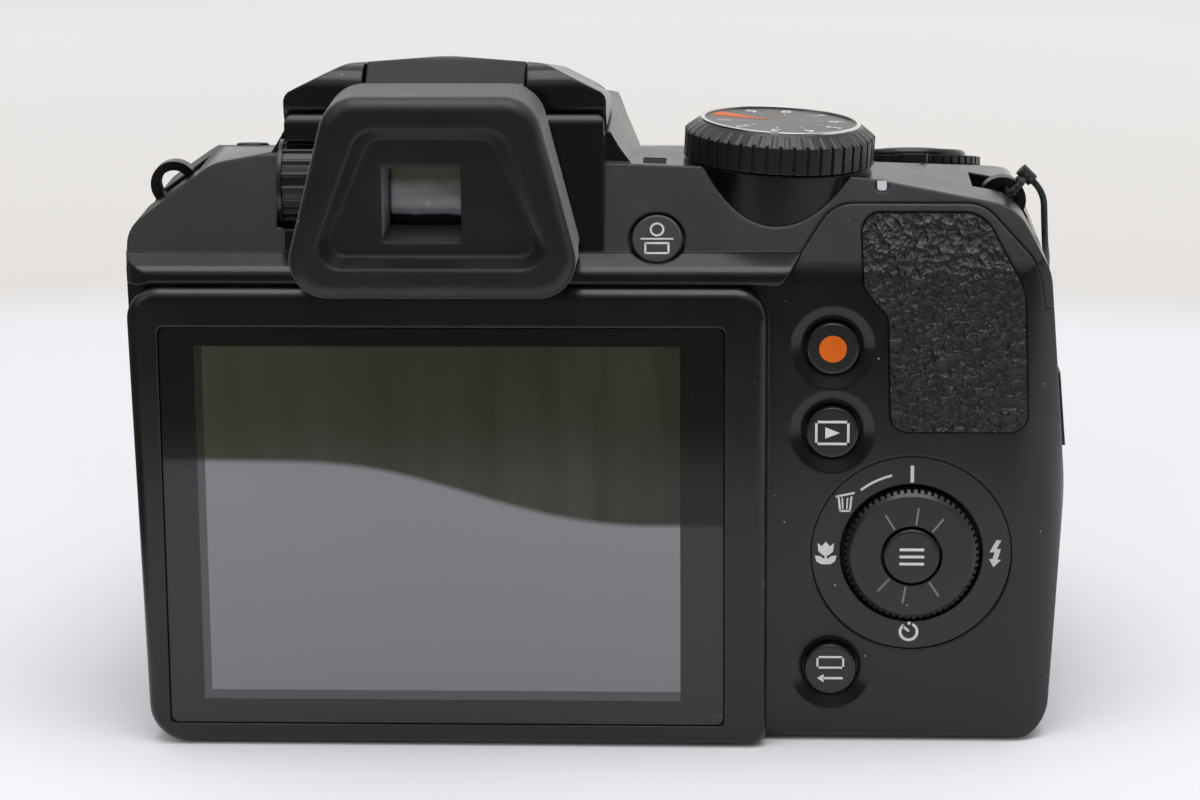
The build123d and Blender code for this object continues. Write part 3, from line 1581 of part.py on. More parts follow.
with BuildPart() as image_sensor:
    with Locations((axis_x, throat_rear - sensor_thick / 2, axis_height)):
        Box(sensor_width, sensor_thick, sensor_tall)
image_sensor.part.label = "image_sensor"
export_step(image_sensor.part, "parts/image_sensor.step")

# Battery box, its contacts, the door and its latch
with BuildPart() as battery_box:
    add(block((bay_left - bay_wall, bay_right + bay_wall), (bay_rear - bay_wall, bay_front + bay_wall),
              (bay_foot, bay_top + bay_wall)))
    add(casing_inner, mode=Mode.INTERSECT)
    add(block((bay_left, bay_right), (bay_rear, bay_front), (bay_foot - cut_over, bay_top)),
        mode=Mode.SUBTRACT)
battery_box.part.label = "battery_box"
export_step(battery_box.part, "parts/battery_box.step")

with BuildPart() as battery_contacts:
    with Locations(((bay_left + bay_right) / 2, (bay_rear + bay_front) / 2, bay_top)):
        with GridLocations(bay_side / 2, bay_side / 2, 2, 2):
            Cylinder(contact_radius, contact_thick, align=downward)
battery_contacts.part.label = "battery_contacts"
export_step(battery_contacts.part, "parts/battery_contacts.step")

latch_x = bay_right - latch_width
latch_y = (bay_rear + bay_front) / 2
with BuildPart() as battery_door:
    add(casing_outer)
    add(block((door_left, right_side + cut_over), (door_rear, door_front), (-cut_over, door_thick)),
        mode=Mode.INTERSECT)
    hinge_edges = battery_door.faces().sort_by(Axis.X)[0].edges().filter_by(Axis.Y)
    fillet(hinge_edges, radius=door_thick / 2 - running_gap)
    with Locations(door_pin_plane):
        Cylinder(door_pin_radius, door_pin_reach, align=centred)
    with Locations((latch_x, latch_y, 0)):
        Box(latch_width + 2 * fit_gap, latch_length + latch_travel + 2 * fit_gap,
            2 * (latch_thick + fit_gap), mode=Mode.SUBTRACT)
battery_door.part.label = "battery_door"
export_step(battery_door.part, "parts/battery_door.step")

with BuildPart() as door_latch:
    with Locations((latch_x, latch_y - latch_travel / 2, 0)):
        Box(latch_width, latch_length, latch_thick, align=upward)
        with GridLocations(0, latch_length / 6, 1, 5):
            Box(latch_width - wall, latch_length / 12, latch_thick / 2, align=centred, mode=Mode.SUBTRACT)
door_latch.part.label = "door_latch"
export_step(door_latch.part, "parts/door_latch.step")

# Connector cover and the block behind it
with BuildPart() as connector_cover:
    add(form(grip_face(), grip_side(), grip_plan(), -port_tab_reach))
    add(block((grip_join_x, right_side + cut_over), (port_rear, port_tab_front),
              (port_tab_foot, port_top - port_gap)), mode=Mode.INTERSECT)
    add(casing_outer)
    add(block((right_side - corner_round, right_side + cut_over),
              (port_rear + port_gap, port_front - 2 * port_gap),
              (port_foot + port_gap, port_top - port_gap)), mode=Mode.INTERSECT)
    add(casing_form(port_cover_thick), mode=Mode.SUBTRACT)
connector_cover.part.label = "connector_cover"
export_step(connector_cover.part, "parts/connector_cover.step")

port_height = port_top - port_foot
connector_shares = [(0.25, 0.28), (0.72, 0.34)]
connector_ports = [(port_foot + v * port_height, h * port_height) for v, h in connector_shares]
with BuildPart() as connector_block:
    add(block((connector_left, connector_right), (port_rear + running_fit, port_rear + connector_depth),
              (port_foot + fit_gap, port_top - fit_gap)))
    for z, tall in connector_ports:
        add(block((connector_right - connector_recess, right_side),
                  (port_rear + connector_margin, port_rear + connector_depth - connector_margin),
                  (z - tall / 2, z + tall / 2)), mode=Mode.SUBTRACT)
connector_block.part.label = "connector_block"
export_step(connector_block.part, "parts/connector_block.step")

# Base
with BuildPart() as tripod_socket:
    Cylinder(socket_boss_radius, socket_thick, align=upward)
    Cylinder(socket_radius, 2 * socket_depth, align=centred, mode=Mode.SUBTRACT)
    mouth_edges = tripod_socket.edges().filter_by(GeomType.CIRCLE).group_by(Axis.Z)[0]
    chamfer(mouth_edges.sort_by(SortBy.RADIUS)[0], length=seam_gap)
tripod_socket.part.label = "tripod_socket"
export_step(tripod_socket.part, "parts/tripod_socket.step")

with BuildPart() as casing_screws:
    with Locations(*[(x, y, screw_sink) for x, y in screw_places]):
        Cylinder(screw_head_radius, screw_head_thick, align=upward)
        Cylinder(screw_radius, screw_length, align=upward)
        Box(screw_radius, screw_slot, screw_slot, align=centred, mode=Mode.SUBTRACT)
        Box(screw_slot, screw_radius, screw_slot, align=centred, mode=Mode.SUBTRACT)
casing_screws.part.label = "casing_screws"
export_step(casing_screws.part, "parts/casing_screws.step")

# Strap eyelets, each on an anchor that runs into the casing
for name, (x, z, turn) in eyelets.items():
    with BuildPart() as eyelet:
        with BuildSketch(eyelet_plane(x, z, turn)):
            Circle(eyelet_outer)
            with Locations((0, -eyelet_outer)):
                Rectangle(anchor_width, anchor_length)
            Circle(eyelet_bore, mode=Mode.SUBTRACT)
        extrude(amount=eyelet_thick / 2, both=True)
    eyelet.part.label = "strap_eyelet_" + name
    export_step(eyelet.part, "parts/strap_eyelet_" + name + ".step")

# Leash: a hitch round the right eyelet, the cord down the side of the grip and the knot at its end
leash_plane = eyelet_plane(*eyelets["right"])
loop_near = eyelet_bore - hitch_gap - cord_radius
loop_far = eyelet_outer + hitch_gap + cord_radius
loop_half = eyelet_thick / 2 + hitch_gap + cord_radius


def on_eyelet(across, out, forward):
    """A point given across and outward in the eyelet's plane, and forward of it."""
    return leash_plane.from_local_coords(Vector(across, out, -forward))


with BuildPart() as leash_hitch:
    with BuildLine() as loop:
        FilletPolyline(on_eyelet(0, loop_near, -loop_half), on_eyelet(0, loop_near, loop_half),
                       on_eyelet(0, loop_far, loop_half), on_eyelet(0, loop_far, -loop_half),
                       radius=hitch_bend, close=True)
    with BuildSketch(Plane(origin=on_eyelet(0, loop_near, 0), z_dir=(0, 1, 0))):
        Circle(cord_radius)
    sweep(path=loop.wire())
    with Locations(Plane(origin=on_eyelet(0, loop_far + hitch_radius, 0), z_dir=leash_plane.x_dir)):
        Cylinder(hitch_radius, hitch_length, align=centred)
leash_hitch.part.label = "leash_hitch"
export_step(leash_hitch.part, "parts/leash_hitch.step")

leash_shares = [
    # along the width, forward and up, as shares of the casing's own reach
    (0.968, 0.018, 1.133),
    (0.9765, 0.072, 1.074),
    (0.984, 0.225, 0.988),
    (0.9926, 0.382, 0.931),
    (1.003, 0.5506, 0.8567),
    (1.0, 0.68, 0.758),
    (0.995, 0.735, 0.651),
    (0.993, 0.75, 0.5437),
]
leash_points = [on_eyelet(hitch_length / 2, loop_far + hitch_radius, 0)]
leash_points += [Vector(u * right_side, v * grip_front, w * seam_height) for u, v, w in leash_shares]
leash_radii = []
for before, here, after in zip(leash_points, leash_points[1:], leash_points[2:]):
    turn = math.radians((here - before).get_angle(after - here))
    leash_radii.append(leash_bend * min((here - before).length, (after - here).length) / math.tan(turn / 2))
with BuildPart() as leash_cord:
    with BuildLine() as route:
        FilletPolyline(*leash_points, radius=leash_radii)
    with BuildSketch(Plane(origin=leash_points[0], z_dir=leash_points[1] - leash_points[0])):
        Circle(cord_radius)
    sweep(path=route.wire())
print("leash radii", [round(r, 1) for r in leash_radii])
print("leash length", round(route.wire().length, 2), "volume share",
      round(leash_cord.part.volume / (math.pi * cord_radius ** 2 * route.wire().length), 4))
leash_cord.part.label = "leash_cord"
export_step(leash_cord.part, "parts/leash_cord.step")
knot_way = (leash_points[-1] - leash_points[-2]).normalized()
with BuildPart() as leash_knot:
    with Locations(Plane(origin=leash_points[-1], z_dir=knot_way)):
        Cylinder(knot_radius, knot_length, align=upward)
    fillet(leash_knot.edges().filter_by(GeomType.CIRCLE), radius=knot_radius / 3)
leash_knot.part.label = "leash_knot"
export_step(leash_knot.part, "parts/leash_knot.step")
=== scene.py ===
import json
import math

import bpy
from mathutils import Matrix, Vector


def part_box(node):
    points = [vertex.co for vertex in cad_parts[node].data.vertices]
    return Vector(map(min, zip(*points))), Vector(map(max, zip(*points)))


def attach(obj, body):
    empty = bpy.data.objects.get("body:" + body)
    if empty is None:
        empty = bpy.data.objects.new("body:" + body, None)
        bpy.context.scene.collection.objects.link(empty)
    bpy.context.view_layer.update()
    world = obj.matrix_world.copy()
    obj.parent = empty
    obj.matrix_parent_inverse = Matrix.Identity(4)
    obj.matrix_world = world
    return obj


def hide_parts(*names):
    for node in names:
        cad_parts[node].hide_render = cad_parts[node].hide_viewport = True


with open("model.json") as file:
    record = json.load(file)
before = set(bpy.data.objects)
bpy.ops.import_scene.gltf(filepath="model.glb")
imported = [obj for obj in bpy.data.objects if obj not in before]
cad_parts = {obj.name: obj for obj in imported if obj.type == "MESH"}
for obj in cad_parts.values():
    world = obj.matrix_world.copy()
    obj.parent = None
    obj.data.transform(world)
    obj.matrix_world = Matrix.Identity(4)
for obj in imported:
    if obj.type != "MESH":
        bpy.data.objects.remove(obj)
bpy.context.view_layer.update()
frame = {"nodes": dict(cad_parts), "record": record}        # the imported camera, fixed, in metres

MM = 0.001
nodes = frame["nodes"]
scene = bpy.context.scene

# ---------------------------------------------------------------- places on the camera, in millimetres
LENS_AXIS = Vector((1.2, 0, 37.5))
LENS_FRONT_Y = 84.5
DIAL_FOOT = Vector((43.8, -4.3, 74.4))
DIAL_LEAN = math.radians(3)
DIAL_UP = Vector((math.sin(DIAL_LEAN), 0, math.cos(DIAL_LEAN)))
DIAL_RIGHT = Vector((math.cos(DIAL_LEAN), 0, -math.sin(DIAL_LEAN)))
DIAL_THICK = 4.8
DIAL_RIBS = 44
SHOULDER_LEAN = math.radians(30)
SHOULDER_OUT = Vector((0, -math.cos(SHOULDER_LEAN), math.sin(SHOULDER_LEAN)))
SHOULDER_FOOT_Y, SHOULDER_FOOT_Z = -18.7, 62.0

RIGHT, UP, FORWARD, DOWN = (1, 0, 0), (0, 0, 1), (0, 1, 0), (0, 0, -1)
LEFT, BACK = (-1, 0, 0), (0, -1, 0)
STAY = Matrix.Identity(4)

# ---------------------------------------------------------------- viewpoint
VIEW_PLACE = Vector((39.84, -477.75, 159.68))
VIEW_PITCH = math.radians(13.95)
VIEW_YAW = math.radians(2.35)
VIEW_ROLL = math.radians(-0.39)
VIEW_LENS = 111
VIEW_SENSOR = 36


def place_viewpoint():
    """The photographer's stand: a long lens a little above the back of the camera."""
    back = Vector((math.sin(VIEW_YAW) * math.cos(VIEW_PITCH),
                   -math.cos(VIEW_YAW) * math.cos(VIEW_PITCH),
                   math.sin(VIEW_PITCH)))
    right = (-back).cross(Vector(UP)).normalized()
    up = right.cross(-back)
    level = right * math.cos(VIEW_ROLL) + up * math.sin(VIEW_ROLL)
    upright = -right * math.sin(VIEW_ROLL) + up * math.cos(VIEW_ROLL)
    turn = Matrix((level, upright, back)).transposed().to_4x4()
    turn.translation = VIEW_PLACE * MM
    bpy.ops.object.camera_add()
    stand = bpy.context.object
    stand.name = "photo_viewpoint"
    stand.matrix_world = turn
    stand.data.sensor_width = VIEW_SENSOR
    stand.data.lens = VIEW_LENS
    stand.data.clip_start = 10 * MM
    scene.camera = stand


place_viewpoint()

# ---------------------------------------------------------------- leash cord, first of the pieces
LEASH_ROUTE = [
    (76.96, 0.0, 70.6), (78.5, 0.6, 69.1), (78.75, 1.6, 65.2), (79.0, 2.8, 61.6), (79.75, 8.6, 58.6),
    (80.3, 16.0, 55.9), (81.14, 24.5, 52.0), (80.9, 30.26, 46.01), (80.5, 32.71, 39.52), (80.33, 33.38, 33.0),
]
LEASH_DIAMETER = 0.88


def lay_leash():
    """The thin leash on one smooth curve, from its hitch on the right eyelet to its knot."""
    line = bpy.data.curves.new("leash", "CURVE")
    line.dimensions = "3D"
    run = line.splines.new("NURBS")
    run.points.add(len(LEASH_ROUTE) - 1)
    for point, place in zip(run.points, LEASH_ROUTE):
        point.co = (*(c * MM for c in place), 1)
        point.radius = LEASH_DIAMETER / 2 * MM
    run.order_u = 3
    run.use_endpoint_u = True
    run.resolution_u = 12
    line.bevel_depth = 1.0        # full size, as each point's radius is the leash's own
    line.bevel_resolution = 4
    line.use_fill_caps = True
    leash = bpy.data.objects.new("leash", line)
    scene.collection.objects.link(leash)
    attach(leash, "casing")
    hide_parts("leash_cord")
    return leash


leash = lay_leash()


# ---------------------------------------------------------------- shader building
def feed(tree, socket, value):
    """Links a socket to another one, or gives it a plain value."""
    if isinstance(value, bpy.types.NodeSocket):
        tree.links.new(value, socket)
    else:
        socket.default_value = value


def node(tree, kind, settings=None, **inputs):
    """A node with its settings and inputs. An input called i and a number is taken by its position."""
    made = tree.nodes.new("ShaderNode" + kind)
    for key, value in (settings or {}).items():
        setattr(made, key, value)
    for key, value in inputs.items():
        by_position = key[0] == "i" and key[1:].isdigit()
        feed(tree, made.inputs[int(key[1:]) if by_position else key.replace("_", " ")], value)
    return made


def math_node(tree, operation, *values):
    """One step of arithmetic on numbers or sockets."""
    inputs = {"i" + str(place): value for place, value in enumerate(values)}
    return node(tree, "Math", {"operation": operation}, **inputs).outputs[0]


def times(tree, first, second):
    return math_node(tree, "MULTIPLY", first, second)


def plus(tree, first, second):
    return math_node(tree, "ADD", first, second)


def minus(tree, first, second):
    return math_node(tree, "SUBTRACT", first, second)


def greater(tree, first, second):
    return math_node(tree, "MAXIMUM", first, second)


def between(tree, value, low, high):
    """A value stretched so that low becomes 0 and high becomes 1."""
    return node(tree, "MapRange", Value=value, From_Min=low, From_Max=high).outputs[0]


def stretched(tree, where, scale):
    """A place scaled along each axis by itself."""
    return node(tree, "VectorMath", {"operation": "MULTIPLY"}, i0=where, i1=scale).outputs[0]


def blend(tree, share, first, second):
    """The first colour where the share is 0 and the second where it is 1."""
    return node(tree, "Mix", {"data_type": "RGBA"}, i0=share, i6=first, i7=second).outputs[2]


def placed(tree, effect_group, **inputs):
    """A shared effect, put into a material."""
    return node(tree, "Group", {"node_tree": effect_group}, **inputs)


def rgb(red, green, blue):
    return (red, green, blue, 1)


def grey(level, warm=0.0):
    """A neutral colour, or one that leans a little to red or blue."""
    return rgb(level * (1 + warm), level, level * (1 - warm))


def shade(colour, factor, lift=0.0):
    """A colour made darker or lighter."""
    return rgb(*(min(1.0, c * factor + lift) for c in colour[:3]))


# ---------------------------------------------------------------- shared effects, as node groups
def effect(name, inputs, outputs):
    """An empty effect with named inputs and outputs."""
    group = bpy.data.node_groups.new(name, "ShaderNodeTree")
    for socket, kind, value in inputs:
        made = group.interface.new_socket(name=socket, in_out="INPUT", socket_type="NodeSocket" + kind)
        made.default_value = value
    for socket, kind in outputs:
        group.interface.new_socket(name=socket, in_out="OUTPUT", socket_type="NodeSocket" + kind)
    return group, group.nodes.new("NodeGroupInput"), group.nodes.new("NodeGroupOutput")


def moulding_effect():
    """Fine grain, slow mottle, dust specks and hairline scratches of handled plastic."""
    group, start, end = effect(
        "moulding",
        [("Vector", "Vector", (0, 0, 0)), ("Grain", "Float", 4200.0),
         ("Dust", "Float", 0.3), ("Scratch", "Float", 0.3)],
        [("Height", "Float"), ("Mottle", "Float"), ("Dust", "Float"), ("Scratch", "Float")],
    )
    where = start.outputs["Vector"]
    grain = node(group, "TexNoise", Vector=where, Scale=start.outputs["Grain"], Detail=2.0, Roughness=0.6)
    mottle = node(group, "TexNoise", Vector=where, Scale=75.0, Detail=4.0, Roughness=0.65).outputs[0]
    cells = node(group, "TexVoronoi", Vector=where, Scale=760.0)
    luck = node(group, "SeparateColor", Color=cells.outputs["Color"])
    speck = math_node(group, "LESS_THAN", cells.outputs["Distance"], times(group, luck.outputs[1], 0.11))
    rarity = minus(group, 1.0, times(group, start.outputs["Dust"], 0.16))
    chosen = math_node(group, "GREATER_THAN", luck.outputs[0], rarity)
    hairs = []
    for turn in ((0.2, 0.9, 0.3), (-0.3, -0.55, 0.5)):
        drawn = node(group, "Mapping", Vector=where, Rotation=turn, Scale=(38.0, 38.0, 2600.0)).outputs[0]
        line = node(group, "TexNoise", Vector=drawn, Scale=1.0, Detail=1.0).outputs[0]
        hairs.append(between(group, line, 0.70, 0.78))
    scratched = times(group, greater(group, *hairs), between(group, mottle, 0.56, 0.62))
    feed(group, end.inputs["Height"], grain.outputs[0])
    feed(group, end.inputs["Mottle"], between(group, mottle, 0.3, 0.7))
    feed(group, end.inputs["Dust"], times(group, speck, chosen))
    feed(group, end.inputs["Scratch"], times(group, scratched, start.outputs["Scratch"]))
    return group


def rubbed_edge_effect():
    """A softened moulded edge: the rounded normal, and a mask where the edge is rubbed."""
    group, start, end = effect("rubbed_edge", [("Radius", "Float", 0.0003)],
                               [("Normal", "Vector"), ("Rub", "Float")])
    soft = node(group, "Bevel", {"samples": 6}, Radius=start.outputs["Radius"]).outputs[0]
    sharp = node(group, "NewGeometry").outputs["Normal"]
    along = node(group, "VectorMath", {"operation": "DOT_PRODUCT"}, i0=soft, i1=sharp).outputs["Value"]
    feed(group, end.inputs["Normal"], soft)
    feed(group, end.inputs["Rub"], between(group, along, 0.995, 0.90))
    return group


def crinkle_effect():
    """Crinkled rubber skin: short wandering ridges with flat valleys."""
    group, start, end = effect("crinkle", [("Vector", "Vector", (0, 0, 0)), ("Scale", "Float", 520.0)],
                               [("Height", "Float"), ("Valley", "Float")])
    where, scale = start.outputs["Vector"], start.outputs["Scale"]
    swirl = node(group, "TexNoise", Vector=where, Scale=times(group, scale, 0.9), Detail=2.0)
    reach = 2.2 * MM
    moved = node(group, "VectorMath", {"operation": "MULTIPLY_ADD"}, i0=swirl.outputs["Color"],
                 i1=(reach, reach, reach), i2=where).outputs[0]
    ridges = node(group, "TexNoise", {"noise_type": "RIDGED_MULTIFRACTAL", "normalize": False},
                  Vector=moved, Scale=scale, Detail=2.5, Roughness=0.55).outputs[0]
    folds = node(group, "TexVoronoi", {"feature": "SMOOTH_F1"}, Vector=moved,
                 Scale=times(group, scale, 1.3), Smoothness=0.6).outputs[0]
    tall = plus(group, times(group, ridges, 0.35), times(group, folds, 0.9))
    feed(group, end.inputs["Height"], tall)
    feed(group, end.inputs["Valley"], between(group, tall, 0.25, 0.8))
    return group


MOULDING = moulding_effect()
RUBBED_EDGE = rubbed_edge_effect()
CRINKLE = crinkle_effect()


# ---------------------------------------------------------------- finishes
def new_finish(name, **sockets):
    """A material whose own shader sockets hold what is the same all over."""
    finish = bpy.data.materials.new(name)
    finish.use_nodes = True
    tree = finish.node_tree
    shader = tree.nodes["Principled BSDF"]
    for key, value in sockets.items():
        shader.inputs[key.replace("_", " ")].default_value = value
    return finish, tree, shader, node(tree, "TexCoord").outputs["Object"]


def dusted(tree, marks, body, share, level):
    """A colour with its dust specks."""
    return blend(tree, times(tree, marks.outputs["Dust"], share), body, grey(level))


def roughen(tree, shader, pattern, spread, least):
    """Roughness that starts at its least value and rises with a pattern."""
    feed(tree, shader.inputs["Roughness"], math_node(tree, "MULTIPLY_ADD", pattern, spread, least))


def emboss(tree, shader, height, strength, depth, under=None):
    """Relief of a depth in millimetres, over another normal where one is given."""
    bump = node(tree, "Bump", Height=height, Strength=strength, Distance=depth * MM)
    if under is not None:
        feed(tree, bump.inputs["Normal"], under)
    feed(tree, shader.inputs["Normal"], bump.outputs[0])


def plastic(name, colour, roughness, grain=4200.0, depth=0.03, dust=0.3, scratch=0.3, edge=0.3, rub=0.25,
            **sockets):
    """Moulded plastic or painted metal: mottled colour, dust, hairlines, rubbed edges and a fine grain."""
    finish, tree, shader, where = new_finish(name, **sockets)
    marks = placed(tree, MOULDING, Vector=where, Grain=grain, Dust=dust, Scratch=scratch)
    edges = placed(tree, RUBBED_EDGE, Radius=edge * MM)
    body = blend(tree, marks.outputs["Mottle"], shade(colour, 0.82), shade(colour, 1.18))
    body = blend(tree, times(tree, edges.outputs["Rub"], rub), body, shade(colour, 1.6, 0.012))
    body = blend(tree, marks.outputs["Scratch"], body, shade(colour, 2, 0.05))
    feed(tree, shader.inputs["Base Color"], dusted(tree, marks, body, 0.6, 0.42))
    uneven = math_node(tree, "MULTIPLY_ADD", marks.outputs["Mottle"], 0.10, roughness - 0.05)
    feed(tree, shader.inputs["Roughness"], plus(tree, uneven, times(tree, marks.outputs["Dust"], 0.3)))
    emboss(tree, shader, marks.outputs["Height"], 0.5, depth, under=edges.outputs["Normal"])
    return finish


def metal(name, colour, roughness):
    """Plated or steel parts, with a fine scratched surface."""
    return plastic(name, colour, roughness, grain=7000.0, depth=0.01, dust=0.2, scratch=0.5, edge=0.12,
                   rub=0.4, Metallic=1.0)


def ink(name, colour, roughness, scratch, **sockets):
    """Printed paint, too thin to have an edge of its own."""
    return plastic(name, colour, roughness, depth=0.01, dust=0.1, scratch=scratch, edge=0.05, rub=0.0, **sockets)


def crinkled(name, colour, scale, depth):
    """Rubber skin with a crinkled grain, with painted shade in its valleys and a painted highlight on its ridges.
    """
    finish, tree, shader, where = new_finish(name)
    marks = placed(tree, MOULDING, Vector=where, Grain=5000.0, Dust=0.2, Scratch=0.0)
    skin = placed(tree, CRINKLE, Vector=where, Scale=scale)
    # Painted shade in the valleys and a painted highlight on the ridge tops.
    body = blend(tree, skin.outputs["Valley"], shade(colour, 0.3), shade(colour, 1.5))
    feed(tree, shader.inputs["Base Color"], dusted(tree, marks, body, 0.5, 0.35))
    polish = node(tree, "MapRange", Value=skin.outputs["Valley"], To_Min=0.60, To_Max=0.22)
    feed(tree, shader.inputs["Roughness"], polish.outputs[0])
    fine = node(tree, "Bump", Height=marks.outputs["Height"], Strength=0.3, Distance=0.02 * MM)
    emboss(tree, shader, skin.outputs["Height"], 1.0, depth, under=fine.outputs[0])
    return finish


def turned_metal(name, colour, centre, tilt, roughness, rings, depth):
    """Metal turned on a lathe: fine rings round a centre, with a painted highlight that turns light and dark in
    sectors round it.
    """
    finish, tree, shader, where = new_finish(name, Metallic=0.85)
    flat = node(tree, "Mapping", {"vector_type": "TEXTURE"}, Vector=where, Location=centre,
                Rotation=tilt).outputs[0]
    circle = node(tree, "TexWave", {"wave_type": "RINGS", "rings_direction": "Z", "wave_profile": "SIN"},
                  Vector=flat, Scale=rings, Distortion=1.5, Detail=2.0, Detail_Scale=4.0).outputs[0]
    sector = node(tree, "TexGradient", {"gradient_type": "RADIAL"}, Vector=flat).outputs[1]
    highlight_sectors = between(tree, math_node(tree, "SINE", times(tree, sector, 4 * math.pi)), -1.0, 1.0)
    marks = placed(tree, MOULDING, Vector=where, Grain=6000.0, Dust=0.4, Scratch=0.4)
    # Painted highlight: the turned face is lighter and darker in sectors round its centre.
    body = blend(tree, highlight_sectors, shade(colour, 0.6), colour)
    feed(tree, shader.inputs["Base Color"], dusted(tree, marks, body, 0.5, 0.5))
    roughen(tree, shader, circle, 0.12, roughness)
    emboss(tree, shader, circle, 0.6, depth)
    return finish


def screen_glass():
    """The monitor's glass: a dark mask round a display, with a painted reflection on both: dim olive above a soft
    wave, and the pale table reflected grey below it.
    """
    finish, tree, shader, where = new_finish("monitor_glass", Specular_IOR_Level=0.28)
    marks = placed(tree, MOULDING, Vector=where, Grain=3000.0, Dust=0.35, Scratch=0.5)
    split = node(tree, "SeparateXYZ", Vector=where)
    across, height = split.outputs[0], split.outputs[2]

    def band(value, low, high):
        return between(tree, value, low * MM, high * MM)

    def inside(low_x, high_x, low_z, high_z):
        wide = times(tree, math_node(tree, "GREATER_THAN", across, low_x * MM),
                     math_node(tree, "LESS_THAN", across, high_x * MM))
        tall = times(tree, math_node(tree, "GREATER_THAN", height, low_z * MM),
                     math_node(tree, "LESS_THAN", height, high_z * MM))
        return times(tree, wide, tall)

    # The wave is the edge of a painted reflection: the dark room above it, the pale table below it, on the mask
    # and the display alike.
    wave_top, wave_fall, wave_drift = 38.2, 8.6, 0.9
    fall = node(tree, "MapRange", {"interpolation_type": "SMOOTHERSTEP"}, Value=band(across, -35.0, 36.9),
                From_Min=0.18, From_Max=0.92).outputs[0]
    wave = math_node(tree, "MULTIPLY_ADD", fall, -wave_fall * MM, wave_top * MM)
    drift = node(tree, "TexNoise", Vector=where, Scale=28.0, Detail=2.0).outputs[0]
    wave = plus(tree, wave, times(tree, minus(tree, drift, 0.5), wave_drift * MM))
    above = band(minus(tree, height, wave), -0.35, 0.45)

    # Painted reflection: the mask and its rim are lighter below the wave, and the display is grey below it and
    # dim olive with streaks above it.
    mask = blend(tree, above, grey(0.034), rgb(0.0075, 0.0078, 0.0062))
    rim = blend(tree, above, rgb(0.085, 0.088, 0.092), rgb(0.020, 0.020, 0.015))
    lower_reflection = blend(tree, band(height, 6, 42), rgb(0.192, 0.197, 0.208), rgb(0.222, 0.228, 0.238))
    upper_reflection = blend(tree, band(across, -30, 31), rgb(0.042, 0.041, 0.028), rgb(0.024, 0.024, 0.016))
    reflection_streak = node(tree, "TexNoise", Scale=30.0, Detail=3.0, Vector=stretched(tree, where, (6.0, 0.0, 0.6)))
    upper_reflection = blend(tree, between(tree, reflection_streak.outputs[0], 0.35, 0.75), upper_reflection, rgb(0.046, 0.045, 0.034))
    face = blend(tree, inside(-30.6, 31.3, 6.15, 53.3), mask, rim)
    face = blend(tree, inside(-29.6, 31.3, 7.4, 53.2), face, blend(tree, above, lower_reflection, upper_reflection))
    face = blend(tree, times(tree, marks.outputs["Scratch"], 0.25), face, grey(0.3))
    feed(tree, shader.inputs["Base Color"], dusted(tree, marks, face, 0.35, 0.4))
    roughen(tree, shader, marks.outputs["Mottle"], 0.07, 0.05)
    edges = placed(tree, RUBBED_EDGE, Radius=0.25 * MM)
    feed(tree, shader.inputs["Normal"], edges.outputs["Normal"])
    return finish


def coated_glass(name, coating_reflection_tint, roughness, centre):
    """Dark optical glass: painted shade that darkens towards its centre, and a faint painted reflection of its
    coating's tint further out.
    """
    finish, tree, shader, where = new_finish(name, Specular_IOR_Level=0.22)
    marks = placed(tree, MOULDING, Vector=where, Grain=3000.0, Dust=0.3, Scratch=0.1)
    flat = node(tree, "Mapping", {"vector_type": "TEXTURE"}, Vector=where, Location=centre).outputs[0]
    away = node(tree, "VectorMath", {"operation": "LENGTH"}, i0=stretched(tree, flat, (1, 0, 1)))
    turn_back = 13.0 * MM
    ring = math_node(tree, "PINGPONG", away.outputs["Value"], turn_back)
    # Painted shade near the centre, and a painted coating reflection in a ring further out.
    body = blend(tree, between(tree, ring, 1.0 * MM, turn_back), rgb(0.004, 0.004, 0.006), coating_reflection_tint)
    feed(tree, shader.inputs["Base Color"], dusted(tree, marks, body, 0.5, 0.4))
    roughen(tree, shader, marks.outputs["Mottle"], 0.05, roughness)
    return finish


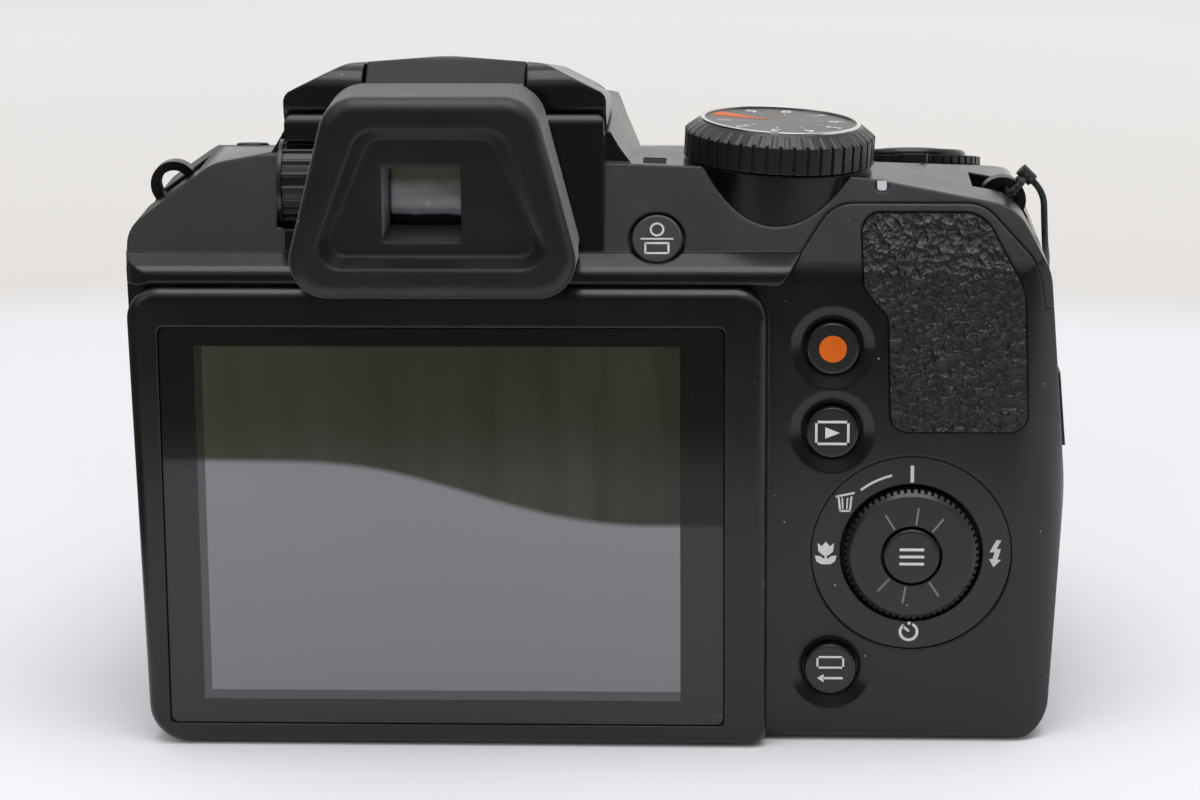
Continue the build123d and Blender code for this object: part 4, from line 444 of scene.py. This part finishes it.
def eyepiece_glass():
    """The eyepiece: a painted reflection, dim olive above, pale in its middle and dark below, with a small
    painted glint.
    """
    finish, tree, shader, where = new_finish("eyepiece_glass", Specular_IOR_Level=0.4)
    marks = placed(tree, MOULDING, Vector=where, Grain=3000.0, Dust=0.5, Scratch=0.2)
    split = node(tree, "SeparateXYZ", Vector=where)
    across, height = split.outputs[0], split.outputs[2]
    drift = node(tree, "TexNoise", Vector=where, Scale=420.0, Detail=3.0).outputs[0]
    level = math_node(tree, "MULTIPLY_ADD", drift, 0.9 * MM, height)
    # Painted reflection: pale to the left and brown-grey to the right, then bands of dim olive, bright pale, grey
    # and dark from the top down.
    body = blend(tree, between(tree, across, -4.2 * MM, 3.6 * MM), rgb(0.66, 0.67, 0.70), rgb(0.36, 0.35, 0.32))
    for start, whole, colour in (
        (73.1, 74.6, rgb(0.180, 0.175, 0.135)),
        (72.6, 71.4, rgb(0.80, 0.80, 0.83)),
        (70.9, 70.4, rgb(0.45, 0.47, 0.52)),
        (70.1, 69.8, grey(0.006)),
    ):
        body = blend(tree, between(tree, level, start * MM, whole * MM), body, colour)
    # A painted glint: a small bright cross on the glass.
    glint_x, glint_z = -0.75, 70.95
    aside = math_node(tree, "ABSOLUTE", minus(tree, across, glint_x * MM))
    rise = math_node(tree, "ABSOLUTE", minus(tree, height, glint_z * MM))
    painted_glint = between(tree, times(tree, aside, rise), 0.035 * MM * MM, 0.008 * MM * MM)
    near = between(tree, plus(tree, aside, rise), 1.0 * MM, 0.35 * MM)
    body = blend(tree, times(tree, painted_glint, near), body, rgb(1.0, 1.0, 0.98))
    feed(tree, shader.inputs["Base Color"], body)
    roughen(tree, shader, marks.outputs["Mottle"], 0.06, 0.05)
    return finish


def ribbed_window():
    """The flash's front window: pale plastic with upright prism ribs."""
    finish, tree, shader, where = new_finish("flash_window", Roughness=0.12, Specular_IOR_Level=0.6,
                                             Coat_Weight=0.4, Coat_Roughness=0.08)
    marks = placed(tree, MOULDING, Vector=where, Grain=3000.0, Dust=0.2, Scratch=0.2)
    ribs = node(tree, "TexWave", {"bands_direction": "X"}, Vector=where, Scale=260.0).outputs[0]
    body = blend(tree, ribs, rgb(0.36, 0.37, 0.38), rgb(0.62, 0.63, 0.63))
    body = blend(tree, marks.outputs["Mottle"], body, rgb(0.50, 0.50, 0.49))
    feed(tree, shader.inputs["Base Color"], body)
    emboss(tree, shader, ribs, 0.8, 0.15)
    return finish


def braid():
    """The leash's fine braid, two weaves that cross on the slant."""
    finish, tree, shader, where = new_finish("leash_braid", Roughness=0.7, Sheen_Weight=0.15)
    strands = [node(tree, "TexWave", {"bands_direction": "DIAGONAL"}, Vector=way, Scale=520.0,
                    Distortion=0.6).outputs[0] for way in (where, stretched(tree, where, (-1, 1, 1)))]
    weave = times(tree, *strands)
    feed(tree, shader.inputs["Base Color"], blend(tree, weave, grey(0.006), grey(0.028)))
    emboss(tree, shader, weave, 0.8, 0.08)
    return finish


FINISHES = {
    "casing_black": plastic("casing_plastic", grey(0.0060, -0.02), 0.20, depth=0.02, dust=0.4, scratch=0.15,
                            edge=0.45, Specular_IOR_Level=0.45),
    "gloss_black": plastic("polished_black", grey(0.0030), 0.16, depth=0.006, Specular_IOR_Level=0.28),
    "grip_black": crinkled("crinkled_rubber", grey(0.0065), 700.0, 1.1),
    "control_black": plastic("control_plastic", grey(0.0105), 0.27, depth=0.012, scratch=0.2, edge=0.2),
    "screen_glass": screen_glass(),
    "screen_panel": plastic("display_panel", grey(0.05), 0.3),
    "eyecup_rubber": plastic("eyecup_rubber", grey(0.0065), 0.42, grain=2600.0, dust=0.8, scratch=0.1,
                             edge=0.9, rub=0.1, Sheen_Weight=0.34, Sheen_Roughness=0.3),
    "clear_glass": eyepiece_glass(),
    "inner_black": plastic("inner_plastic", grey(0.010), 0.6, scratch=0.1),
    "board_green": plastic("circuit_board", rgb(0.012, 0.06, 0.025), 0.45),
    "dial_face": turned_metal("dial_face", grey(0.10, 0.03), DIAL_FOOT * MM, (0, DIAL_LEAN, 0), 0.24,
                              900.0, 0.012),
    "bright_silver": metal("bright_silver", grey(0.75), 0.14),
    "lamp_lens": plastic("lamp_lens", rgb(0.42, 0.45, 0.47), 0.15, dust=0.1, scratch=0.0),
    "steel_pin": metal("steel_pin", grey(0.45), 0.3),
    "barrel_black": plastic("barrel_black", grey(0.0120), 0.30, depth=0.015, dust=0.25),
    "lens_glass": coated_glass("front_glass", rgb(0.012, 0.010, 0.030), 0.02, LENS_AXIS * MM),
    "sensor_green": plastic("sensor_face", rgb(0.02, 0.05, 0.045), 0.15),
    "contact_metal": metal("contact_gold", rgb(0.75, 0.55, 0.25), 0.25),
    "socket_brass": metal("socket_metal", rgb(0.55, 0.50, 0.42), 0.3),
    "screw_steel": plastic("screw_black", grey(0.02), 0.35, Metallic=0.7),
    "eyelet_metal": metal("eyelet_metal", grey(0.05), 0.34),
    "cord_black": braid(),
}
SHUTTER_FINISH = plastic("shutter_group", grey(0.0060), 0.14, depth=0.004, scratch=0.2)
OWN_FINISHES = {
    "selector_plate": plastic("selector_plate", grey(0.0060), 0.20, depth=0.004, dust=0.5, edge=0.2),
    "flash_window": ribbed_window(),
    "connector_cover": plastic("door_rubber", grey(0.0080), 0.40, grain=3000.0, scratch=0.1),
    "shutter_button": SHUTTER_FINISH,
    "zoom_lever": SHUTTER_FINISH,
}
PRINT_WHITE = ink("printed_white", grey(0.62), 0.5, 0.4)
PRINT_ORANGE = ink("printed_orange", rgb(0.68, 0.120, 0.002), 0.42, 0.1, Specular_IOR_Level=0.2)
STROKE_SILVER = ink("selector_strokes", grey(0.16), 0.35, 0.2)
# A sheet of painted shade, laid where an opening holds only shade.
SLOT_SHADE_SHEET = plastic("dark_opening", grey(0.002), 0.9, dust=0.1, scratch=0.0, edge=0.05, rub=0.0)


def dress(piece, finish):
    """Gives a piece its one finish."""
    piece.data.materials.clear()
    piece.data.materials.append(finish)


def dress_frame():
    """Every piece of the frame gets its own finish, or that of its slot."""
    for part in frame["record"]["subparts"]:
        finish = OWN_FINISHES.get(part["node"]) or FINISHES[part["material_slot"]]
        dress(nodes[part["node"]], finish)
    dress(leash, FINISHES["cord_black"])


dress_frame()

# ---------------------------------------------------------------- drawing pieces, in millimetres
PRINT_THICK = 0.04
THIN_PRINT = 0.03
LETTER_SIZE = 1.4             # a letter's font size for each millimetre of its height
LETTER_WEIGHT = 0.035         # how far its outline swells, in the same terms


def clear_hands():
    """Leaves edit mode and selects nothing."""
    if bpy.context.object and bpy.context.object.mode != "OBJECT":
        bpy.ops.object.mode_set(mode="OBJECT")
    bpy.ops.object.select_all(action="DESELECT")


def polar(radius, degrees):
    """The point at a distance and an angle from the middle."""
    return radius * math.cos(math.radians(degrees)), radius * math.sin(math.radians(degrees))


def face_place(origin, across, out):
    """Where a plate drawn flat goes: its X runs across, its Z points out."""
    z = Vector(out).normalized()
    x = (Vector(across) - z * z.dot(Vector(across))).normalized()
    place = Matrix((x, z.cross(x), z)).transposed().to_4x4()
    place.translation = Vector(origin) * MM
    return place


def on_rear(node_name):
    """The middle of a piece's back face."""
    low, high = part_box(node_name)
    return face_place(((low.x + high.x) / 2 / MM, low.y / MM, (low.z + high.z) / 2 / MM), RIGHT, BACK)


def drop_on(node_name, x, y):
    """The spot on top of a piece straight below a point, and the way it faces."""
    above = 200
    spot, out = nodes[node_name].ray_cast(Vector((x, y, above)) * MM, Vector(DOWN))[1:3]
    return face_place(spot / MM, RIGHT, out)


def plate(corners, thick=PRINT_THICK, x=0.0, y=0.0, turn=0.0):
    """A flat plate through its corners, turned, moved and raised by its thickness."""
    clear_hands()
    bpy.ops.mesh.primitive_circle_add(vertices=len(corners), radius=MM, fill_type="NGON")
    made = bpy.context.object
    c, s = math.cos(math.radians(turn)), math.sin(math.radians(turn))
    for vertex, (u, v) in zip(made.data.vertices, corners):
        vertex.co = ((x + u * c - v * s) * MM, (y + u * s + v * c) * MM, 0)
    bpy.ops.object.mode_set(mode="EDIT")
    bpy.ops.mesh.select_all(action="SELECT")
    bpy.ops.mesh.extrude_region_move(TRANSFORM_OT_translate={"value": (0, 0, thick * MM)})
    bpy.ops.mesh.select_all(action="SELECT")
    bpy.ops.mesh.normals_make_consistent(inside=False)
    bpy.ops.object.mode_set(mode="OBJECT")
    return made


def bar(x, y, length, width, turn=0.0):
    """A short printed stroke with its corners cut."""
    u, v, cut = length / 2, width / 2, min(length, width) / 4
    corners = [(-u + cut, -v), (u - cut, -v), (u, -v + cut), (u, v - cut),
               (u - cut, v), (-u + cut, v), (-u, v - cut), (-u, -v + cut)]
    return plate(corners, x=x, y=y, turn=turn)


def arc(x, y, radius, width, start, end, steps=40):
    """A printed arc."""
    angles = [start + (end - start) * step / steps for step in range(steps + 1)]
    outer = [polar(radius + width / 2, angle) for angle in angles]
    inner = [polar(radius - width / 2, angle) for angle in reversed(angles)]
    return plate(outer + inner, x=x, y=y)


def dot(x, y, radius, sides=40):
    """A printed round spot."""
    return plate([polar(radius, 360 * side / sides) for side in range(sides)], x=x, y=y)


def outline(x, y, width, tall, stroke):
    """A printed rectangle in outline, as four strokes."""
    u, v = width / 2 - stroke / 2, tall / 2 - stroke / 2
    return [bar(x, y - v, width, stroke), bar(x, y + v, width, stroke),
            bar(x - u, y, tall, stroke, 90), bar(x + u, y, tall, stroke, 90)]


def figure(text, x, y, tall, turn=0.0):
    """A plain number or word, made a mesh."""
    clear_hands()
    bpy.ops.object.text_add()
    made = bpy.context.object
    made.data.body = text
    made.data.align_x = "CENTER"
    made.data.align_y = "CENTER"
    made.data.size = tall * LETTER_SIZE * MM
    made.data.extrude = PRINT_THICK / 2 * MM
    made.data.offset = tall * LETTER_WEIGHT * MM
    bpy.ops.object.convert(target="MESH")
    made = bpy.context.object
    lift = Matrix.Translation((x * MM, y * MM, PRINT_THICK / 2 * MM))
    made.data.transform(lift @ Matrix.Rotation(math.radians(turn), 4, "Z"))
    return made


def lathed(section, centre, axis, steps=96):
    """A ring turned from its cross-section, given as distances from the axis and along it."""
    clear_hands()
    bpy.ops.mesh.primitive_circle_add(vertices=len(section), radius=MM)
    made = bpy.context.object
    along = Vector(axis)
    side = along.orthogonal().normalized()
    for vertex, (radius, reach) in zip(made.data.vertices, section):
        vertex.co = (Vector(centre) + side * radius + along * reach) * MM
    bpy.ops.object.mode_set(mode="EDIT")
    bpy.ops.mesh.select_all(action="SELECT")
    bpy.ops.mesh.spin(steps=steps, angle=2 * math.pi, center=Vector(centre) * MM, axis=along)
    bpy.ops.mesh.select_all(action="SELECT")
    bpy.ops.mesh.remove_doubles(threshold=0.001 * MM)
    bpy.ops.mesh.normals_make_consistent(inside=False)
    bpy.ops.object.mode_set(mode="OBJECT")
    bpy.ops.object.shade_smooth_by_angle(angle=math.radians(25))
    return made


def finish_piece(parts, name, place, body, finish):
    """Joins what was drawn, moves it to its place and hands it to its body."""
    clear_hands()
    parts = [p for group in parts for p in (group if isinstance(group, list) else [group])]
    for p in parts:
        p.select_set(True)
    bpy.context.view_layer.objects.active = parts[0]
    if len(parts) > 1:
        bpy.ops.object.join()
    piece = bpy.context.object
    piece.name = name
    piece.data.name = name
    piece.data.transform(place)
    dress(piece, finish)
    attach(piece, body)
    return piece


def print_mark(parts, name, place, body, paint=PRINT_WHITE):
    """A printed mark on one of the camera's faces."""
    return finish_piece(parts, name, place, body, paint)


# ---------------------------------------------------------------- the back
def mark_buttons():
    """Symbols on the round buttons of the back."""
    print_mark([dot(0, 0, 1.75)], "record_mark", on_rear("record_button"), "record_body", paint=PRINT_ORANGE)
    print_mark([outline(0, 0, 4.4, 3.2, 0.32), plate([(-0.9, -0.75), (0.95, 0), (-0.9, 0.75)])],
               "play_mark", on_rear("play_button"), "play_body")
    print_mark([outline(0, 0.95, 3.6, 1.7, 0.26), bar(0.35, -1.2, 2.6, 0.3),
                plate([(-1.7, -1.2), (-0.85, -0.65), (-0.85, -1.75)])],
               "display_mark", on_rear("display_button"), "display_body")
    climb, proud = 4.0, 0.35      # how far up the shoulder's slope the button sits, and how far out of it
    top = Vector((28.3, SHOULDER_FOOT_Y + climb * math.tan(SHOULDER_LEAN), SHOULDER_FOOT_Z + climb))
    print_mark([bar(0, 0, 4.2, 0.2), arc(0, 1.25, 0.8, 0.26, 0, 180), arc(0, 1.25, 0.8, 0.26, 180, 360),
                outline(0, -1.25, 3.2, 1.6, 0.26)],
               "viewfinder_mark", face_place(top + SHOULDER_OUT * proud, RIGHT, SHOULDER_OUT),
               "viewfinder_button_body")
    print_mark([bar(0, rise, 3.2, 0.36) for rise in (0.95, 0, -0.95)],
               "menu_mark", on_rear("centre_button"), "centre_body")


def mark_selector():
    """Symbols on the plate round the selector, and the six bright strokes on its dial."""
    bolt = plate([(0.1, 1.75), (-0.75, 0.15), (-0.1, 0.15), (-0.35, -0.75), (-0.8, -0.75), (-0.2, -1.85),
                  (0.75, -0.85), (0.3, -0.85), (0.7, 0.6), (0.15, 0.6), (0.75, 1.75)], x=10.8)
    timer = [arc(-0.2, -10.6, 1.1, 0.36, -235, 65), bar(-0.55, -10.2, 1.1, 0.34, -42), dot(-0.15, -9.45, 0.22)]
    bin_mark = [bar(-9.3, 6.55, 2.0, 0.26, 96), bar(-7.85, 6.55, 2.0, 0.26, 84), bar(-8.58, 5.6, 1.5, 0.26),
                bar(-8.9, 6.6, 1.5, 0.2, 93), bar(-8.3, 6.6, 1.5, 0.2, 87), bar(-8.55, 7.75, 2.5, 0.26, 12)]
    flower = plate([(-1.05, 1.4), (-0.55, 0.95), (0, 1.55), (0.55, 0.95), (1.05, 1.4), (0.95, 0.3), (0.45, -0.2),
                    (0.16, -0.3), (0.16, -0.75), (0.75, -0.35), (1.4, -0.3), (1.2, -1.05), (0.6, -1.45),
                    (-0.6, -1.45), (-1.2, -1.05), (-1.4, -0.3), (-0.75, -0.35), (-0.16, -0.75), (-0.16, -0.3),
                    (-0.45, -0.2), (-0.95, 0.3)], x=-11.0, y=-0.1)
    link = arc(0, 0, 10.65, 0.3, 104, 128, steps=16)
    print_mark([bolt, timer, bin_mark, flower, link, figure("1", 0.0, 10.4, 2.2)], "selector_symbols",
               on_rear("selector_plate"), "casing")
    stroke_ring = 5.3
    strokes = [bar(*polar(stroke_ring, angle), 2.3, 0.26, angle) for angle in (122, 82.6, 51, 227.4, 260, 303.5)]
    print_mark(strokes, "selector_strokes", on_rear("selector_dial"), "ring_body", STROKE_SILVER)


# ---------------------------------------------------------------- the top
def mark_mode_dial():
    """Plain numbers round the mode dial, an orange wedge for the automatic setting, and short ticks."""
    place = face_place(DIAL_FOOT + DIAL_UP * DIAL_THICK, RIGHT, DIAL_UP)
    wedge_tip, wedge_ring, number_ring, tick_ring = 1.2, 9.3, 7.3, 5.2
    automatic, between_settings = 156, 36
    wedge = [polar(wedge_tip, automatic)] + [polar(wedge_ring, automatic + off) for off in range(-10, 11, 4)]
    print_mark([plate(wedge, THIN_PRINT)], "dial_wedge", place, "mode_dial_body", PRINT_ORANGE)
    numbers = []
    for setting in range(1, 10):
        angle = automatic + between_settings * setting
        numbers.append(figure(str(setting), *polar(number_ring, angle), 2.0, angle - 90))
        numbers.append(bar(*polar(tick_ring, angle), 0.9, 0.18, angle))
    print_mark(numbers, "dial_numbers", place, "mode_dial_body")


def rib_mode_dial():
    """Rounded ribs that carry the mode dial's grip up its sloped shoulder and sink into it before the top."""
    section = [(-0.62, -0.3), (0.62, -0.3), (0.56, 0.02), (0.36, 0.15), (0, 0.20), (-0.36, 0.15), (-0.56, 0.02)]
    foot_ring, foot_rise = 12.25, 3.20
    top_ring, top_rise = 10.62, 4.42
    ribs = []
    for step in range(DIAL_RIBS):
        right, ahead = polar(1, 360 * (step + 0.5) / DIAL_RIBS)
        radial = DIAL_RIGHT * right + Vector(FORWARD) * ahead
        low = DIAL_FOOT + radial * foot_ring + DIAL_UP * foot_rise
        along = DIAL_FOOT + radial * top_ring + DIAL_UP * top_rise - low
        rib = plate(section, along.length)
        rib.data.transform(face_place(low, radial.cross(DIAL_UP), along))
        ribs.append(rib)
    finish_piece(ribs, "dial_ribs", STAY, "mode_dial_body", FINISHES["control_black"])
    bpy.ops.object.shade_smooth_by_angle(angle=math.radians(50))


def light_index():
    """The small pale window that points at the mode dial, and a dark sheet of painted shade for the slot in the
    deck beside it.
    """
    low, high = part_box("status_lamp")
    proud, deep = 1.02, 2.2
    spot = (low + high) / 2 / MM + SHOULDER_OUT * proud
    window = plate([(-0.62, 0.55), (-0.62, -0.40), (-0.38, -0.66), (0.38, -0.66), (0.62, -0.40), (0.62, 0.55),
                    (0.5, 0.66), (-0.5, 0.66)], -deep)
    piece = finish_piece([window], "index_window", face_place(spot, RIGHT, SHOULDER_OUT), "casing",
                         FINISHES["lamp_lens"])
    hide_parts("status_lamp")
    # A thin near-black plate of painted shade where the slot opens in the deck.
    slot = plate([(-1.4, -2.0), (1.4, -2.0), (1.5, -1.9), (1.5, 1.9), (1.4, 2.0), (-1.4, 2.0), (-1.5, 1.9),
                  (-1.5, -1.9)], THIN_PRINT)
    finish_piece([slot], "deck_slot", drop_on("top_cover", 27.85, -8.3), "casing", SLOT_SHADE_SHEET)


def mark_top():
    """Symbols of the small top buttons, and ON and OFF beside the power ring."""
    print_mark([bar(0, 0.45, 1.7, 0.3), bar(0, 0.45, 1.7, 0.3, 90), bar(0, -0.95, 1.7, 0.3)],
               "exposure_mark", drop_on("exposure_button", 49.8, 18.5), "exposure_body")
    print_mark([outline(0.25, 0.25, 1.9, 1.4, 0.22), bar(-0.75, -0.35, 1.3, 0.22, 90),
                bar(-0.2, -0.85, 1.3, 0.22)],
               "burst_mark", drop_on("burst_button", 49.6, 10.0), "burst_body")
    bolt = plate([(0.1, 1.3), (-0.6, 0.1), (-0.1, 0.1), (-0.45, -1.35), (0.6, 0.25), (0.12, 0.25), (0.55, 1.3)])
    print_mark([bolt], "flash_mark", drop_on("flash_button", -26.6, 10.5), "flash_button_body")
    for word, name, x, y in (("OFF", "off_mark", 61.8, 5.6), ("ON", "on_mark", 55.2, 7.4)):
        print_mark([figure(word, 0, 0, 1.35)], name, drop_on("top_cover", x, y), "casing")


# ---------------------------------------------------------------- the lens and the base
# each number on the front ring, and its place in degrees clockwise from the top
FRONT_NUMBERS = {"24": -24, "50": -8, "100": 8, "200": 24, "400": 156, "600": 180, "800": 204}


def finish_lens():
    """Baffle ridges inside the front ring, and plain numbers on its face."""
    innermost, pitch, width, rise = 23.3, 0.85, 0.7, 0.55
    funnel_ring, funnel_depth, funnel_slope = 22.7, 80.5, 0.5
    for step in range(4):
        radius = innermost + pitch * step
        foot = funnel_depth + (radius - funnel_ring) * funnel_slope
        ridge = [(radius, foot), (radius + width / 2, foot + rise), (radius + width, foot)]
        finish_piece([lathed(ridge, LENS_AXIS, FORWARD)], "front_baffle_" + str(step + 1), STAY,
                     "inner_tube_body", FINISHES["barrel_black"])
    number_ring = 28.2
    numbers = [figure(text, *polar(number_ring, 90 - clockwise), 1.5, -clockwise)
               for text, clockwise in FRONT_NUMBERS.items()]
    print_mark(numbers, "front_numbers", face_place((LENS_AXIS.x, LENS_FRONT_Y, LENS_AXIS.z), LEFT, FORWARD),
               "inner_tube_body")


def finish_base():
    """The thread in the tripod socket, and the arrow on the battery door."""
    root, crest, half_width, lowest, pitch = 3.17, 2.72, 0.45, 0.95, 1.27
    for step in range(3):
        rise = lowest + pitch * step
        tooth = [(root, rise - half_width), (crest, rise), (root, rise + half_width)]
        finish_piece([lathed(tooth, (0, 0, 0), UP, 48)], "socket_thread_" + str(step + 1), STAY, "casing",
                     FINISHES["socket_brass"])
    low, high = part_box("battery_door")
    arrow = plate([(-2.2, 0.35), (0.6, 0.35), (0.6, 1.1), (2.2, 0), (0.6, -1.1), (0.6, -0.35), (-2.2, -0.35)],
                  THIN_PRINT)
    middle = (60.5, (low.y + high.y) / 2 / MM, low.z / MM)
    print_mark([arrow], "door_arrow", face_place(middle, LEFT, DOWN), "door_body")


mark_buttons()
mark_selector()
mark_mode_dial()
rib_mode_dial()
light_index()
mark_top()
finish_lens()
finish_base()

# ---------------------------------------------------------------- stage and light, in metres
ROOM_PALE = rgb(0.86, 0.84, 0.82)
ROOM_MIRRORED = rgb(0.90, 0.88, 0.86)
ROOM_DARK = rgb(0.10, 0.10, 0.095)
ROOM_SOFT = rgb(0.60, 0.60, 0.61)


def lay_floor():
    """A pale table that runs into a warm pale wall, soft where they meet."""
    clear_hands()
    bpy.ops.mesh.primitive_plane_add(size=8, location=(0, 0, 0))
    floor = bpy.context.object
    floor.name = "floor"
    floor.data.transform(Matrix.Translation((0, 0, -0.2 * MM)))
    finish, tree, shader, where = new_finish("floor", Roughness=0.8, Specular_IOR_Level=0.1)
    split = node(tree, "SeparateXYZ", Vector=where)
    across, ahead = split.outputs[0], split.outputs[1]
    bow = times(tree, math_node(tree, "POWER", math_node(tree, "ABSOLUTE", across), 2.0), 1.2)
    reach = plus(tree, ahead, bow)
    table = blend(tree, between(tree, ahead, 0.12, -0.08), rgb(0.885, 0.893, 0.918), rgb(0.965, 0.978, 1.0))
    wall = blend(tree, between(tree, reach, 0.27, 0.65), rgb(0.80, 0.775, 0.745), rgb(0.985, 0.965, 0.94))
    colour = blend(tree, between(tree, reach, 0.235, 0.275), table, wall)
    mottle = node(tree, "TexNoise", Vector=where, Scale=14.0, Detail=4.0).outputs[0]
    colour = blend(tree, times(tree, mottle, 0.05), colour, rgb(0.80, 0.80, 0.82))
    unseen = greater(tree, between(tree, ahead, -0.15, -0.19), between(tree, across, -0.08, -0.13))
    mirrored = times(tree, node(tree, "LightPath").outputs["Is Glossy Ray"], unseen)
    feed(tree, shader.inputs["Base Color"], blend(tree, mirrored, colour, ROOM_DARK))
    dress(floor, finish)


def light_stage():
    """A pale room that is dark behind the viewer, a big soft ceiling light and a weaker one from the left."""
    world = bpy.data.worlds.new("room")
    scene.world = world
    world.use_nodes = True
    tree = world.node_tree
    rays = node(tree, "LightPath").outputs
    way = node(tree, "SeparateXYZ", Vector=node(tree, "TexCoord").outputs["Generated"]).outputs
    ahead = math_node(tree, "MINIMUM", between(tree, way[1], -0.55, 0.05), between(tree, way[0], -0.85, -0.35))
    bright = greater(tree, ahead, between(tree, way[2], 0.35, 0.75))
    mirrored = blend(tree, bright, ROOM_DARK, ROOM_MIRRORED)
    room = blend(tree, rays["Is Glossy Ray"], ROOM_PALE, mirrored)
    seen = greater(tree, rays["Is Camera Ray"], greater(tree, rays["Is Glossy Ray"], rays["Is Transmission Ray"]))
    feed(tree, tree.nodes["Background"].inputs["Color"], blend(tree, seen, ROOM_SOFT, room))
    target = Vector((0.02, 0, 0.04))
    for name, place, size, power in (
        ("ceiling", Vector((0.1, -0.22, 1.2)), 1.1, 7.7),
        ("left_fill", Vector((-0.9, -0.7, 0.7)), 0.7, 0.9),
    ):
        clear_hands()
        bpy.ops.object.light_add(type="AREA", location=place)
        lamp = bpy.context.object
        lamp.name = name
        lamp.data.shape = "DISK"
        lamp.data.size = size
        lamp.data.energy = power
        lamp.rotation_euler = (target - place).to_track_quat("-Z", "Y").to_euler()


lay_floor()
light_stage()
scene.view_settings.view_transform = "Standard"

clear_hands()
scene.frame_set(1)
bpy.context.view_layer.update()
